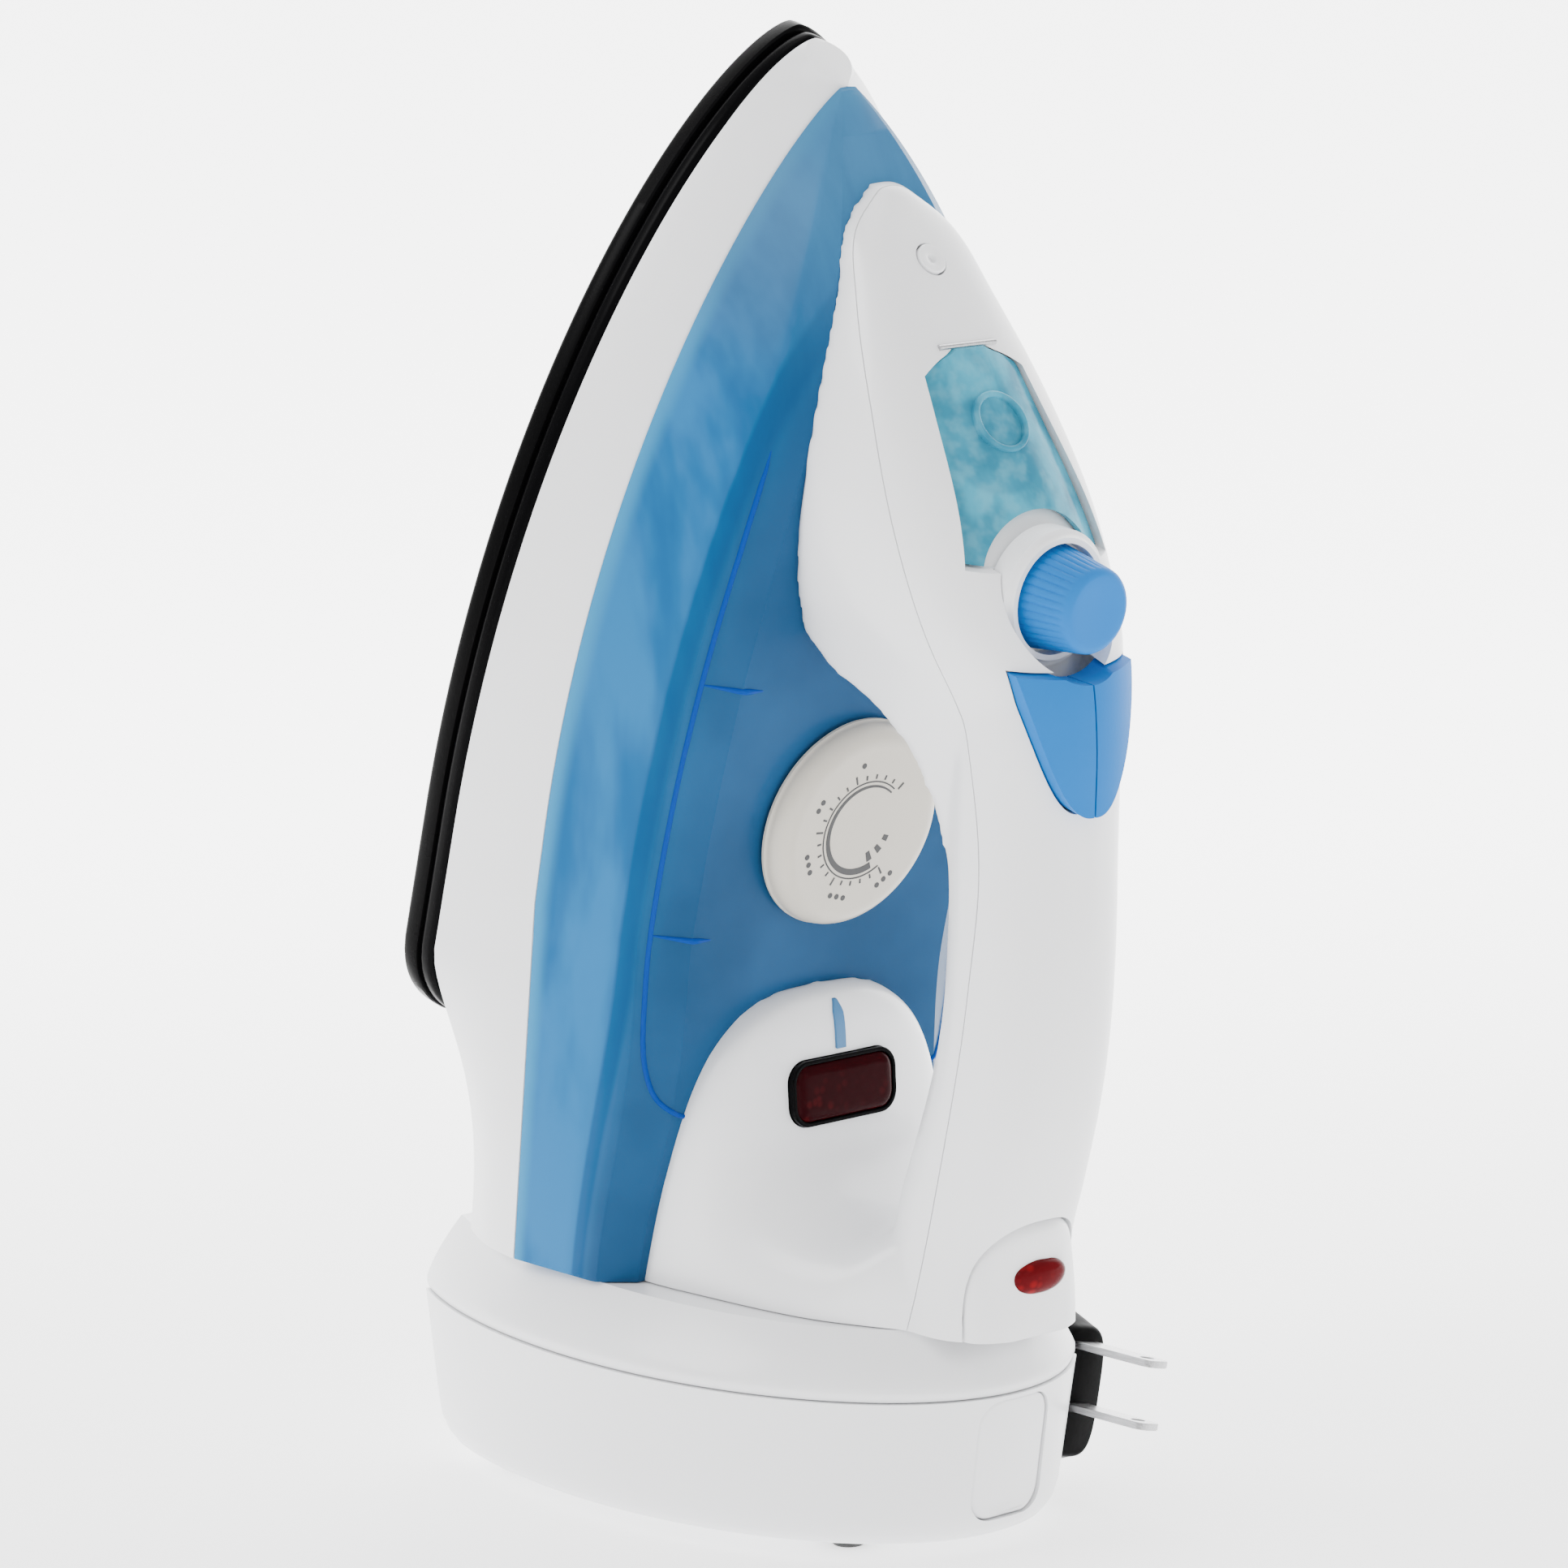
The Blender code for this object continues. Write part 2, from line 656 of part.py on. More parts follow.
def handle_solid(name, finish, iron, stations):
    """The pod and the grip as one hollow body, before it is split at the seam."""
    levels = ((0.0, 1.0), (0.45, 1.0), (0.80, 0.84), (0.95, 0.58), (1.0, 0.28))
    pod = layered([pod_level(s, w, 0.0) for s, w in levels], stations)
    shell = body(name, pod, finish, iron)
    combine(shell, helper(name + "_grip", loft(grip_rings(0.0)), iron), "UNION")
    deeper = ((-0.15, 1.0), *levels[1:])
    hollow = layered([pod_level(s, w, WALL) for s, w in deeper], stations)
    inner = helper(name + "_hollow", hollow, iron)
    combine(inner, helper(name + "_hollow_grip", loft(grip_rings(WALL)), iron), "UNION")
    combine(shell, inner)
    return shell


def make_handle(iron, below_seam):
    stations = spread(18, 1.25)
    lower = handle_solid("handle_lower", "white_plastic", iron, stations)
    combine(lower, helper("cut_above_seam", seam_prism(True), iron))
    combine(lower, helper("cut_handle_rear", box((-0.2, -0.05, 0.09), (0.0, 0.05, 0.2)), iron))
    top = handle_solid("handle_top", "white_plastic", iron, stations)
    combine(top, helper("cut_below_seam", seam_prism(False), iron))
    combine(top, below_seam)
    return lower, top


def make_knob(iron, top):
    x, z = KNOB_CENTRE
    turn = (0, KNOB_TILT, 0)
    # The collar is a ring let into the top shell, and the knob stands in it.
    seat = disc(COLLAR_RADIUS + GAP, -0.004, 0.030)
    combine(top, helper("cut_collar", seat, iron, (x, 0, z), turn))
    profile = (
        (0.0036, -0.0038), (COLLAR_RADIUS, -0.0038), (COLLAR_RADIUS, 0.0012), (COLLAR_RADIUS - 0.0012, 0.0022),
        (KNOB_BASE_RADIUS + RUN_CLEARANCE, 0.0022), (KNOB_BASE_RADIUS + RUN_CLEARANCE, -0.0016),
        (0.0036, -0.0016),
    )
    body("knob_collar", turned(profile, 40), "white_plastic", iron, (x, 0, z), turn)
    low = -0.0012
    knob = (
        (0, low), (KNOB_BASE_RADIUS, low), (KNOB_BASE_RADIUS, low + 0.0020),
        (KNOB_TOP_RADIUS + 0.0006, KNOB_HEIGHT - 0.0012), (KNOB_TOP_RADIUS - 0.0006, KNOB_HEIGHT), (0, KNOB_HEIGHT),
    )
    body("steam_knob", turned(knob, 40), "blue_plastic", iron, (x, 0, z), turn)
    rod = disc(0.0019, -0.0700, low - GAP, 16)
    body("steam_valve_rod", rod, "steel", iron, (x, 0, z), turn)
    seal = ring(0.0024, 0.0060, 0.0, 0.0022, 20)
    place = (x - 0.0088, 0, tank_floor(x - 0.0160) + GAP + WALL + GAP)
    body("drip_valve_seal", seal, "rubber", iron, place)


def lid_half_width(x):
    share = (LID_FRONT - x) / (LID_FRONT - LID_REAR)
    return 0.0115 * min(share / 0.12, 1.0) ** 0.5 + 0.0065 * share


def lid_rings(grow, low, high, front=LID_FRONT, rear=LID_REAR, ahead=0.0):
    """Rings of a strip that follows the ridge between two heights above it. Its outline moves ahead by ahead."""
    rings = []
    steps = 10
    for step in range(steps + 1):
        x = front + (rear - front) * step / steps
        half = max(lid_half_width(min(x, LID_FRONT - 0.0004) - ahead) + grow, 0.002)
        across = [half * share for share in (-1.0, -0.6, -0.2, 0.2, 0.6, 1.0)]
        crown = ridge_height(x)
        sag = [-24.0 * y * y for y in across]
        upper = [(x, y, crown + high + drop) for y, drop in zip(across, sag)]
        lower = [(x, y, crown + low + drop) for y, drop in zip(across, sag)]
        rings.append(upper + lower[::-1])
    return rings


def make_lid(iron, top):
    pocket = lid_rings(0.0014, -0.0017, 0.020, LID_FRONT + 0.0016, LID_REAR - 0.0006, LID_SWING_ROOM)
    combine(top, helper("cut_lid_pocket", loft(pocket), iron))
    lid = body("inlet_lid", loft(lid_rings(0.0, -0.0012, LID_THICKNESS - 0.0012)), "teal_lid", iron)
    x, z = KNOB_CENTRE
    notch = disc(COLLAR_RADIUS + 0.0022, -0.02, 0.030)
    combine(lid, helper("cut_lid_notch", notch, iron, (x, 0, z), (0, KNOB_TILT, 0)))
    axis = (LID_FRONT + 0.0002, 0, ridge_height(LID_FRONT + 0.0002) - 0.0002)
    turn = (math.pi / 2, 0, 0)
    barrel = LID_PIN_RADIUS + 0.0006
    knuckle = disc(barrel, -0.0058, 0.0058, 16)
    combine(lid, helper("lid_knuckle", knuckle, iron, axis, turn), "UNION")
    combine(lid, helper("cut_knuckle", disc(LID_PIN_RADIUS + 0.0002, -0.02, 0.02, 16), iron, axis, turn))
    well = disc(barrel + GAP, -0.0078, 0.0078, 20)
    combine(top, helper("cut_lid_well", well, iron, axis, turn))
    body("lid_pin", disc(LID_PIN_RADIUS, -0.0075, 0.0075, 12), "steel", iron, axis, turn)


def make_inlet(iron, top):
    slope = math.radians(45)
    place = (INLET_CENTRE, 0, ridge_height(INLET_CENTRE) - 0.0035)
    mouth = disc(INLET_RADIUS + GAP, -0.012, 0.020)
    combine(top, helper("cut_inlet", mouth, iron, place, (0, slope, 0)))
    profile = (
        (INLET_RADIUS - 0.0014, -0.0095), (INLET_RADIUS, -0.0095), (INLET_RADIUS, 0.0),
        (INLET_RADIUS - 0.0014, 0.0),
    )
    body("inlet_funnel", turned(profile, 24), "blue_plastic", iron, place, (0, slope, 0))


def button_rings(side, grow, low, high):
    rings = []
    steps = 8
    front = BUTTON_FRONT + grow
    rear = BUTTON_REAR - grow
    for step in range(steps + 1):
        x = front + (rear - front) * step / steps
        share = min((x - rear) / (front - rear), 1.0)
        outer = 0.0030 + (BUTTON_HALF_WIDTH - 0.0030) * share**0.75 + grow
        inner = 0.0002 - grow if grow else 0.0002
        across = [inner + (outer - inner) * portion for portion in (0.0, 0.35, 0.7, 1.0)]
        crown = ridge_height(x)
        sag = [-22.0 * y * y for y in across]
        upper = [(x, side * y, crown + high + drop) for y, drop in zip(across, sag)]
        lower = [(x, side * y, crown + low) for y in across]
        rings.append(upper + lower[::-1])
    return rings


def make_buttons(iron, top):
    x, z = KNOB_CENTRE
    clear = COLLAR_RADIUS + 0.0008
    for name, side, pump in (("spray", -1, 0.108), ("steam", 1, 0.108)):
        opening = helper(f"cut_{name}_button", loft(button_rings(side, 0.0004, -0.020, 0.020)), iron)
        combine(top, opening)
        button = body(f"{name}_button", loft(button_rings(side, 0.0, -0.0060, 0.0034)), "blue_plastic", iron)
        notch = helper(f"cut_{name}_notch", disc(clear, -0.03, 0.030), iron, (x, 0, z), (0, KNOB_TILT, 0))
        combine(button, notch)
        base = ridge_height(pump) - 0.0060
        at = (pump, side * 0.0062, 0)
        piston = disc(PUMP_RADIUS - 0.0012 - RUN_CLEARANCE, base - 0.0140, base - 0.0016, 16)
        body(f"{name}_pump_piston", piston, "white_plastic", iron, at)
        low = base - 0.0240
        barrel = (
            (0.0010, low), (PUMP_RADIUS, low), (PUMP_RADIUS, base - 0.0080), (PUMP_RADIUS - 0.0012, base - 0.0080),
            (PUMP_RADIUS - 0.0012, low + 0.0014), (0.0010, low + 0.0014),
        )
        body(f"{name}_pump_barrel", turned(barrel, 20), "white_plastic", iron, at)
        turns = 3
        coil = []
        spring_low = low + 0.0014 + GAP + 0.0003
        for i in range(12 * turns + 1):
            angle = 2 * math.pi * i / 12
            coil.append(
                (
                    at[0] + 0.0016 * math.cos(angle),
                    at[1] + 0.0016 * math.sin(angle),
                    spring_low + 0.0040 * i / (12 * turns),
                )
            )
        tube_along(f"{name}_pump_spring", coil, 0.00028, "steel", iron)


def make_spray(iron, lower, top):
    nozzle_x = 0.1795
    turn = (0, math.radians(48), 0)
    place = (nozzle_x, 0, ridge_height(nozzle_x))
    hole = disc(0.0036, -0.006, 0.010, 20)
    for shell in (lower, top):
        combine(shell, helper(f"cut_nozzle_{shell.name}", hole.copy(), iron, place, turn))
    hole.free()
    profile = ((0, -0.0050), (0.0032, -0.0050), (0.0032, 0.0006), (0.0018, 0.0012), (0.0010, 0.0006), (0, 0.0006))
    body("spray_nozzle", turned(profile, 24), "white_plastic", iron, place, turn)
    base = ridge_height(0.108) - 0.0300 - GAP
    start = (0.108, -0.0062, base - 0.0014)
    end = (nozzle_x - 0.0052, 0.0, ridge_height(nozzle_x) - 0.0052)
    points = bezier(start, (0.112, -0.0100, 0.066), (0.150, -0.0100, 0.056), end, 20)
    tube_along("spray_hose", points, 0.0014, "clear_hose", iron)
    start = (0.108, 0.0062, base - 0.0014)
    points = bezier(start, (0.108, 0.0080, 0.074), (0.112, 0.0105, 0.066), (0.112, 0.0105, 0.0575), 14)
    tube_along("steam_hose", points, 0.0014, "clear_hose", iron)


# ---- Heel and reel, upright in the world ----
def heel_half_width(x):
    if x >= HEEL_WIDEST:
        share = (x - HEEL_WIDEST) / (HEEL_FRONT - HEEL_WIDEST)
    else:
        share = (HEEL_WIDEST - x) / HEEL_REAR_RUN
    return HEEL_HALF_WIDTH * math.sqrt(max(1 - share * share, 0.0))


def heel_level(inset, z, rear_inset=0.0):
    """Outline of the heel at a level, from the handle's end (station 0) to the sole's end."""
    rear = HEEL_REAR + rear_inset

    def point(station):
        front = HEEL_FRONT - inset
        turn = min(station / 0.62, 1.0) * math.pi / 2
        x = HEEL_WIDEST + (front - HEEL_WIDEST) * math.cos(turn)
        width = (HEEL_HALF_WIDTH - inset) * math.sin(turn)
        if station > 0.62:
            share = (station - 0.62) / 0.38
            x = HEEL_WIDEST + (rear - HEEL_WIDEST) * share
            out = (HEEL_WIDEST - x) / (HEEL_REAR_RUN - 0.5 * inset)
            width = (HEEL_HALF_WIDTH - inset) * math.sqrt(1 - out * out)
        return x + CENTRING, width, z(x)

    return point


def rim(x):
    return HEEL_RIM + RIM_SLOPE * x


def seam(x):
    return SEAM_HEIGHT + SEAM_SLOPE * x


def make_seam_cutter():
    """Everything below the plane where the iron's body meets the heel."""
    far = 0.16
    outline = [
        (-far, seam(-far - CENTRING) + GAP / 2), (far, seam(far - CENTRING) + GAP / 2), (far, -0.2), (-far, -0.2),
    ]
    return helper("cut_below_heel_seam", prism(outline, -0.12, 0.12, "Y"))


HEEL_STATIONS = [i / 26 for i in range(27)]


def make_heel():
    outer = [
        heel_level(0.0095, lambda x: HEEL_BOTTOM, 0.012),
        heel_level(0.0055, lambda x: HEEL_BOTTOM + 0.0018, 0.008),
        heel_level(0.0036, lambda x: HEEL_BOTTOM + 0.0062, 0.001),
        heel_level(0.0, lambda x: rim(x)),
    ]
    housing = body("reel_housing", layered(outer, HEEL_STATIONS), "white_plastic")
    inner = [
        heel_level(0.0098 + HEEL_WALL, lambda x: HEEL_BOTTOM + HEEL_WALL, 0.012 + HEEL_WALL),
        heel_level(0.0048 + HEEL_WALL, lambda x: HEEL_BOTTOM + 0.0068, 0.003 + HEEL_WALL),
        heel_level(HEEL_WALL, lambda x: rim(x), HEEL_WALL),
        heel_level(HEEL_WALL, lambda x: rim(x) + 0.01, HEEL_WALL),
    ]
    combine(housing, helper("cut_reel_housing", layered(inner, HEEL_STATIONS)))

    shoulder = [
        heel_level(0.0, lambda x: rim(x) + GAP),
        heel_level(0.0012, lambda x: rim(x) + 0.0022, 0.0012),
        heel_level(0.0042, lambda x: rim(x) + 0.0075, 0.0030),
        heel_level(0.0085, lambda x: seam(x) - GAP / 2, 0.0055),
    ]
    cover = body("reel_cover", layered(shoulder, HEEL_STATIONS), "white_plastic")
    under = [
        heel_level(HEEL_WALL, lambda x: rim(x) - 0.004, HEEL_WALL),
        heel_level(HEEL_WALL, lambda x: rim(x) + GAP, HEEL_WALL),
        heel_level(0.0066, lambda x: rim(x) + 0.0070, 0.0060),
        heel_level(0.0090, lambda x: seam(x) - 0.0036, 0.0090),
    ]
    combine(cover, helper("cut_reel_cover", layered(under, HEEL_STATIONS)))
    passage = box((0.020 + CENTRING, -0.008, 0.0), (0.046 + CENTRING, 0.008, 0.08))
    combine(cover, helper("cut_wire_passage", passage))
    return housing, cover


def make_notch(housing, cover):
    """The corner pocket that the plug parks in, with its floor and its rear wall."""
    rear = NOTCH_REAR + CENTRING
    top = rim(NOTCH_REAR) + 0.0065
    bottom = HEEL_BOTTOM + 0.0022
    outline = [(rear, NOTCH_FLOOR), (0.12, NOTCH_FLOOR), (0.12, 0.08), (rear, 0.08)]
    pocket = helper("cut_notch", prism(outline, bottom, top))
    lining_outline = [
        (rear - HEEL_WALL, NOTCH_FLOOR - HEEL_WALL), (HEEL_FRONT + CENTRING, NOTCH_FLOOR - HEEL_WALL),
        (HEEL_FRONT + CENTRING, 0.07), (rear - HEEL_WALL, 0.07),
    ]
    lining = helper("notch_lining", prism(lining_outline, HEEL_BOTTOM + 0.0008, rim(NOTCH_REAR) - 0.0010))
    skin = [
        heel_level(0.0096, lambda x: HEEL_BOTTOM + 0.0002, 0.012),
        heel_level(0.0056, lambda x: HEEL_BOTTOM + 0.0019, 0.008),
        heel_level(0.0037, lambda x: HEEL_BOTTOM + 0.0062, 0.001),
        heel_level(0.0001, lambda x: rim(x) - 0.0002),
    ]
    combine(lining, helper("notch_lining_skin", layered(skin, HEEL_STATIONS)), "INTERSECT")
    combine(housing, lining, "UNION")
    combine(housing, pocket)
    combine(cover, pocket)


def make_reel():
    x, y = REEL_CENTRE
    at = (x + CENTRING, y, 0)
    low, high = REEL_LOW, REEL_LOW + REEL_HEIGHT
    cup = 0.0140
    bore = AXLE_RADIUS + RUN_CLEARANCE
    profile = (
        (bore, low), (REEL_RADIUS, low), (REEL_RADIUS, low + FLANGE), (HUB_RADIUS, low + FLANGE),
        (HUB_RADIUS, high - FLANGE), (REEL_RADIUS, high - FLANGE), (REEL_RADIUS, high), (cup, high),
        (cup, high - 0.0120), (bore, high - 0.0120),
    )
    body("cord_reel", turned(profile, 56), "black_plastic", at=at)
    wound = ring(HUB_RADIUS + GAP, WOUND_RADIUS, low + FLANGE + GAP, high - FLANGE - GAP, 56)
    body("wound_cord", wound, "rubber", at=at)
    floor = HEEL_BOTTOM + HEEL_WALL + GAP
    axle = (
        (0, floor), (0.0090, floor), (0.0090, floor + 0.0016), (AXLE_RADIUS, floor + 0.0016),
        (AXLE_RADIUS, high + 0.0010), (0, high + 0.0010),
    )
    body("reel_axle", turned(axle, 24), "steel", at=at)
    turns = 3.2
    count = 56
    thick = 0.0005
    inner_r, outer_r = AXLE_RADIUS + 0.0010, cup - 0.0012
    edge_in, edge_out = [], []
    for i in range(count + 1):
        angle = 2 * math.pi * turns * i / count
        radius = inner_r + (outer_r - inner_r) * i / count
        edge_in.append((radius * math.cos(angle), radius * math.sin(angle)))
        edge_out.append(((radius + thick) * math.cos(angle), (radius + thick) * math.sin(angle)))
    strip = prism(edge_in + edge_out[::-1], high - 0.0110, high - 0.0008)
    body("mainspring", strip, "steel", at=at)
    body("slip_ring", ring(0.0100, 0.0150, low - GAP - 0.0010, low - GAP, 32), "brass", at=at)
    for name, side in (("live", 1), ("neutral", -1)):
        arm = box((-0.0030, side * 0.0125 - 0.0018, floor), (0.0030, side * 0.0125 + 0.0018, low - GAP * 2 - 0.0010))
        body(f"contact_brush_{name}", arm, "brass", at=at)


def make_cord_and_plug(housing):
    line_y = WOUND_RADIUS
    rear = NOTCH_REAR + CENTRING
    start = REEL_CENTRE[0] + CENTRING
    hole = turned(((0, -0.02), (0.0048, -0.02), (0.0048, 0.02), (0, 0.02)), 24)
    sideways = (0, math.pi / 2, 0)
    grommet_at = (rear - HEEL_WALL, line_y - 0.0002 + 0.0003, LEAD_HEIGHT)
    combine(housing, helper("cut_grommet", hole, None, grommet_at, sideways))
    profile = (
        (CORD_RADIUS + RUN_CLEARANCE, -0.0010), (0.0045, -0.0010), (0.0045, HEEL_WALL),
        (CORD_RADIUS + RUN_CLEARANCE, HEEL_WALL),
    )
    body("cord_grommet", turned(profile, 24), "black_plastic", None, grommet_at, sideways)
    lead_y = line_y + 0.0001
    out = WOUND_RADIUS + CORD_RADIUS + GAP
    first = start + math.sqrt(max(out * out - lead_y * lead_y, 0.0)) + 0.004
    plug_rear = rear + 0.0012
    points = [(first + (plug_rear - GAP - first) * i / 6, lead_y, LEAD_HEIGHT) for i in range(7)]
    tube_along("cord_lead", points, CORD_RADIUS, "black_plastic")

    at = (plug_rear, lead_y, LEAD_HEIGHT)
    turn = (PLUG_ROLL, 0, 0)
    half = PLUG_HALF_HEIGHT
    thick = PLUG_HALF_THICKNESS
    sections = (
        (0.0, 0.55 * thick, 0.50 * half), (0.0040, 0.95 * thick, 1.05 * half), (0.0080, thick, 1.10 * half),
        (0.0115, thick, 0.98 * half), (PLUG_LENGTH - 0.0010, 0.95 * thick, 0.92 * half),
        (PLUG_LENGTH, 0.85 * thick, 0.86 * half),
    )
    rings = []
    for x, half_y, half_z in sections:
        drop = PLUG_DROP if x else 0.0
        rings.append([(x, y, z - drop) for y, z in ellipse(24, half_y, half_z, 4.0)])
    body("plug_body", loft(rings), "black_plastic", None, at, turn)
    length, width, thickness = BLADE_SIZE
    for name, side in (("upper", 1), ("lower", -1)):
        middle = side * BLADE_SPACING / 2
        outline = [
            (PLUG_LENGTH + GAP, -width / 2), (PLUG_LENGTH + length - 0.0018, -width / 2),
            (PLUG_LENGTH + length, -width / 2 + 0.0018), (PLUG_LENGTH + length, width / 2 - 0.0018),
            (PLUG_LENGTH + length - 0.0018, width / 2), (PLUG_LENGTH + GAP, width / 2),
        ]
        blade = body(
            f"plug_blade_{name}", prism(outline, middle - thickness / 2, middle + thickness / 2), "steel", None, at, turn
        )
        eye = disc(0.0015, -0.003, 0.003, 12)
        eye_at = Matrix.Rotation(PLUG_ROLL, 4, "X") @ Vector((PLUG_LENGTH + length - 0.0042, 0, middle))
        combine(blade, helper(f"cut_eye_{name}", eye, None, Vector(at) + eye_at, turn))


def make_rewind(iron, top, below_seam):
    """The rear cap that is pressed to let the cord wind in, and its lens."""
    centre = -0.0160
    half = (0.0240, 0.0150)
    lift = ridge_height(centre)
    outline = ellipse(32, half[0], half[1], 2.6)
    hole = prism([(centre + u, v) for u, v in outline], lift - 0.030, lift + 0.03)
    combine(top, helper("cut_rewind", hole, iron))
    fit_x = 1 - RUN_CLEARANCE / half[0]
    fit_y = 1 - RUN_CLEARANCE / half[1]
    crown = []
    for offset, shrink in ((-0.0060, 1.0), (-0.0016, 1.0), (0.0010, 0.94), (0.0020, 0.78)):
        ring_points = []
        for u, v in outline:
            x, y = centre + u * fit_x * shrink, v * fit_y * shrink
            drop = 20.0 * y * y if offset > -0.006 else 0.0
            ring_points.append((x, y, ridge_height(x) + offset - drop))
        crown.append(ring_points)
    cap = body("rewind_button", loft(crown), "white_plastic", iron)
    combine(cap, below_seam)
    lens_x = -0.0035
    height = ridge_height(lens_x)
    lens_at = (lens_x, 0, height)
    socket = prism(ellipse(20, 0.0033, 0.0052), -0.0010, 0.010)
    combine(cap, helper("cut_lens", socket, iron, lens_at))
    lens = [
        [(u, v, -0.0010 + GAP) for u, v in ellipse(20, 0.0030, 0.0049)],
        [(u, v, 0.0026) for u, v in ellipse(20, 0.0030, 0.0049)],
        [(u, v, 0.0034) for u, v in ellipse(20, 0.0018, 0.0034)],
    ]
    body("rewind_lens", loft(lens), "red_lens", iron, lens_at)
    post = -0.0085
    low = ridge_height(post) - 0.0060
    body("release_rod", disc(0.0020, low - 0.0130, low - 0.0010, 16), "white_plastic", iron, (post, 0, 0))
    coil = []
    for i in range(49):
        angle = 2 * math.pi * i / 12
        coil.append(
            (post + 0.0034 * math.cos(angle), 0.0034 * math.sin(angle), low - 0.0115 + 0.0063 * i / 48)
        )
    tube_along("rewind_spring", coil, 0.00035, "steel", iron)


def make_brake():
    """The pawl that holds the reel's rim, on a pin beside it."""
    pivot = (0.0425 + CENTRING, -0.0150)
    low = REEL_LOW + REEL_HEIGHT - FLANGE - 0.0010
    high = low + 0.0040
    outline = [
        (-0.0040, -0.0035), (0.0030, -0.0035), (0.0045, 0.0), (0.0030, 0.0170), (-0.0020, 0.0210), (-0.0062, 0.0200),
        (-0.0055, 0.0170), (-0.0030, 0.0160), (-0.0035, 0.0030),
    ]
    pawl = body("brake_pawl", prism(outline, low, high), "steel", None, (*pivot, 0))
    hole = disc(0.0015 + 0.0002, low - 0.01, high + 0.01, 16)
    combine(pawl, helper("cut_pawl", hole, None, (*pivot, 0)))
    floor = HEEL_BOTTOM + HEEL_WALL + GAP
    body("pawl_pin", disc(0.0015, floor, high + 0.0012, 16), "steel", None, (*pivot, 0))


def make_end_panel(housing):
    """The separate panel let into the heel's end on the handle's side."""
    half = 0.0095
    low = HEEL_BOTTOM + 0.0045
    high = rim(HEEL_FRONT) - 0.0008
    front = HEEL_FRONT + CENTRING
    slot = box((front - 0.0125, -half, low), (front + 0.01, half, high))
    combine(housing, helper("cut_end_panel", slot))

    def reach(z, y):
        return front - 0.0005 - 0.0042 * (1 - (z - low) / (high - low)) - y * y * 16

    rings = []
    for step in range(5):
        z = low + GAP + (high - low - 2 * GAP) * step / 4
        edge = half - GAP
        across = [-edge + 2 * edge * i / 6 for i in range(7)]
        rings.append(
            [(reach(z, y), y, z) for y in across] + [(reach(z, y) - 0.0020, y, z) for y in across[::-1]]
        )
    body("end_panel", loft(rings), "white_plastic")


def make_feet():
    for name, x, y in (("peg_left", -0.050, -0.0300), ("peg_right", -0.050, 0.0300)):
        peg = turned(((0, 0), (0.0020, 0), (0.0026, HEEL_BOTTOM - GAP), (0, HEEL_BOTTOM - GAP)), 20)
        body(f"heel_{name}", peg, "rubber", None, (x + CENTRING, y, 0))
    for name, x, y in (("foot_left", 0.036, -0.0180), ("foot_right", 0.036, 0.0180)):
        foot = turned(((0, 0), (0.0035, 0), (0.0042, HEEL_BOTTOM - GAP), (0, HEEL_BOTTOM - GAP)), 20)
        body(f"heel_{name}", foot, "rubber", None, (x + CENTRING, y, 0))


def main():
    for old in list(bpy.data.objects):
        bpy.data.objects.remove(old)
    iron = bpy.data.objects.new("iron_frame", None)
    bpy.context.collection.objects.link(iron)
    columns = Matrix((FORWARD, (0, -1, 0), UPWARD)).transposed()
    iron.matrix_world = Matrix.Translation(FRAME_ORIGIN) @ columns.to_4x4()
    below_seam = make_seam_cutter()
    make_sole(iron)
    make_heater(iron)
    make_skirt(iron, below_seam)
    make_tank(iron, below_seam)
    make_rear_housing(iron, below_seam)
    make_dial(iron)
    lower, top = make_handle(iron, below_seam)
    make_knob(iron, top)
    make_lid(iron, top)
    make_inlet(iron, top)
    make_buttons(iron, top)
    make_spray(iron, lower, top)
    make_rewind(iron, top, below_seam)
    housing, cover = make_heel()
    make_notch(housing, cover)
    make_reel()
    make_cord_and_plug(housing)
    make_brake()
    make_end_panel(housing)
    make_feet()


main()
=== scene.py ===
"""Looks of a steam iron that stands on its heel: moulded shells, tank, controls, plug, floor and light.

The iron's body is drawn in its own frame: +X runs forward from the rear of the soleplate to the
nose, +Z rises from the sole to the handle, and Y = 0 is the plane of symmetry. IRON turns that
frame into the world's, where the heel is drawn upright. Sizes are in metres.
"""
import json
import math

import bmesh
import bpy
from mathutils import Matrix, Vector


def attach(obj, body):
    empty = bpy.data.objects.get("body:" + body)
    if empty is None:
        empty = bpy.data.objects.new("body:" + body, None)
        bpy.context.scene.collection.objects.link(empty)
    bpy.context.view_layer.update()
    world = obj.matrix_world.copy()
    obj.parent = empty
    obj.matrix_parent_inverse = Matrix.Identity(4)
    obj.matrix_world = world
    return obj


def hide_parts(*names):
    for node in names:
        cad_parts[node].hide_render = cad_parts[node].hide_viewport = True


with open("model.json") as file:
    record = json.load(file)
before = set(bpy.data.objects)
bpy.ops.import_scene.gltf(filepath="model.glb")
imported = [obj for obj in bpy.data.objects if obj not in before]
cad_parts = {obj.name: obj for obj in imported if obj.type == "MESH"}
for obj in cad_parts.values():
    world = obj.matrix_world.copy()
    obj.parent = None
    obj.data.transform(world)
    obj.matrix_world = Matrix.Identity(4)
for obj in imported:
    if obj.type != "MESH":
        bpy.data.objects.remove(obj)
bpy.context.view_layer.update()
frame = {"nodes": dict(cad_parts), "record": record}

# ---- Driving dimensions ----
LEAN = math.radians(15)
FORWARD = Vector((math.sin(LEAN), 0, math.cos(LEAN)))
UPWARD = Vector((math.cos(LEAN), 0, -math.sin(LEAN)))
CENTRING = -0.0099
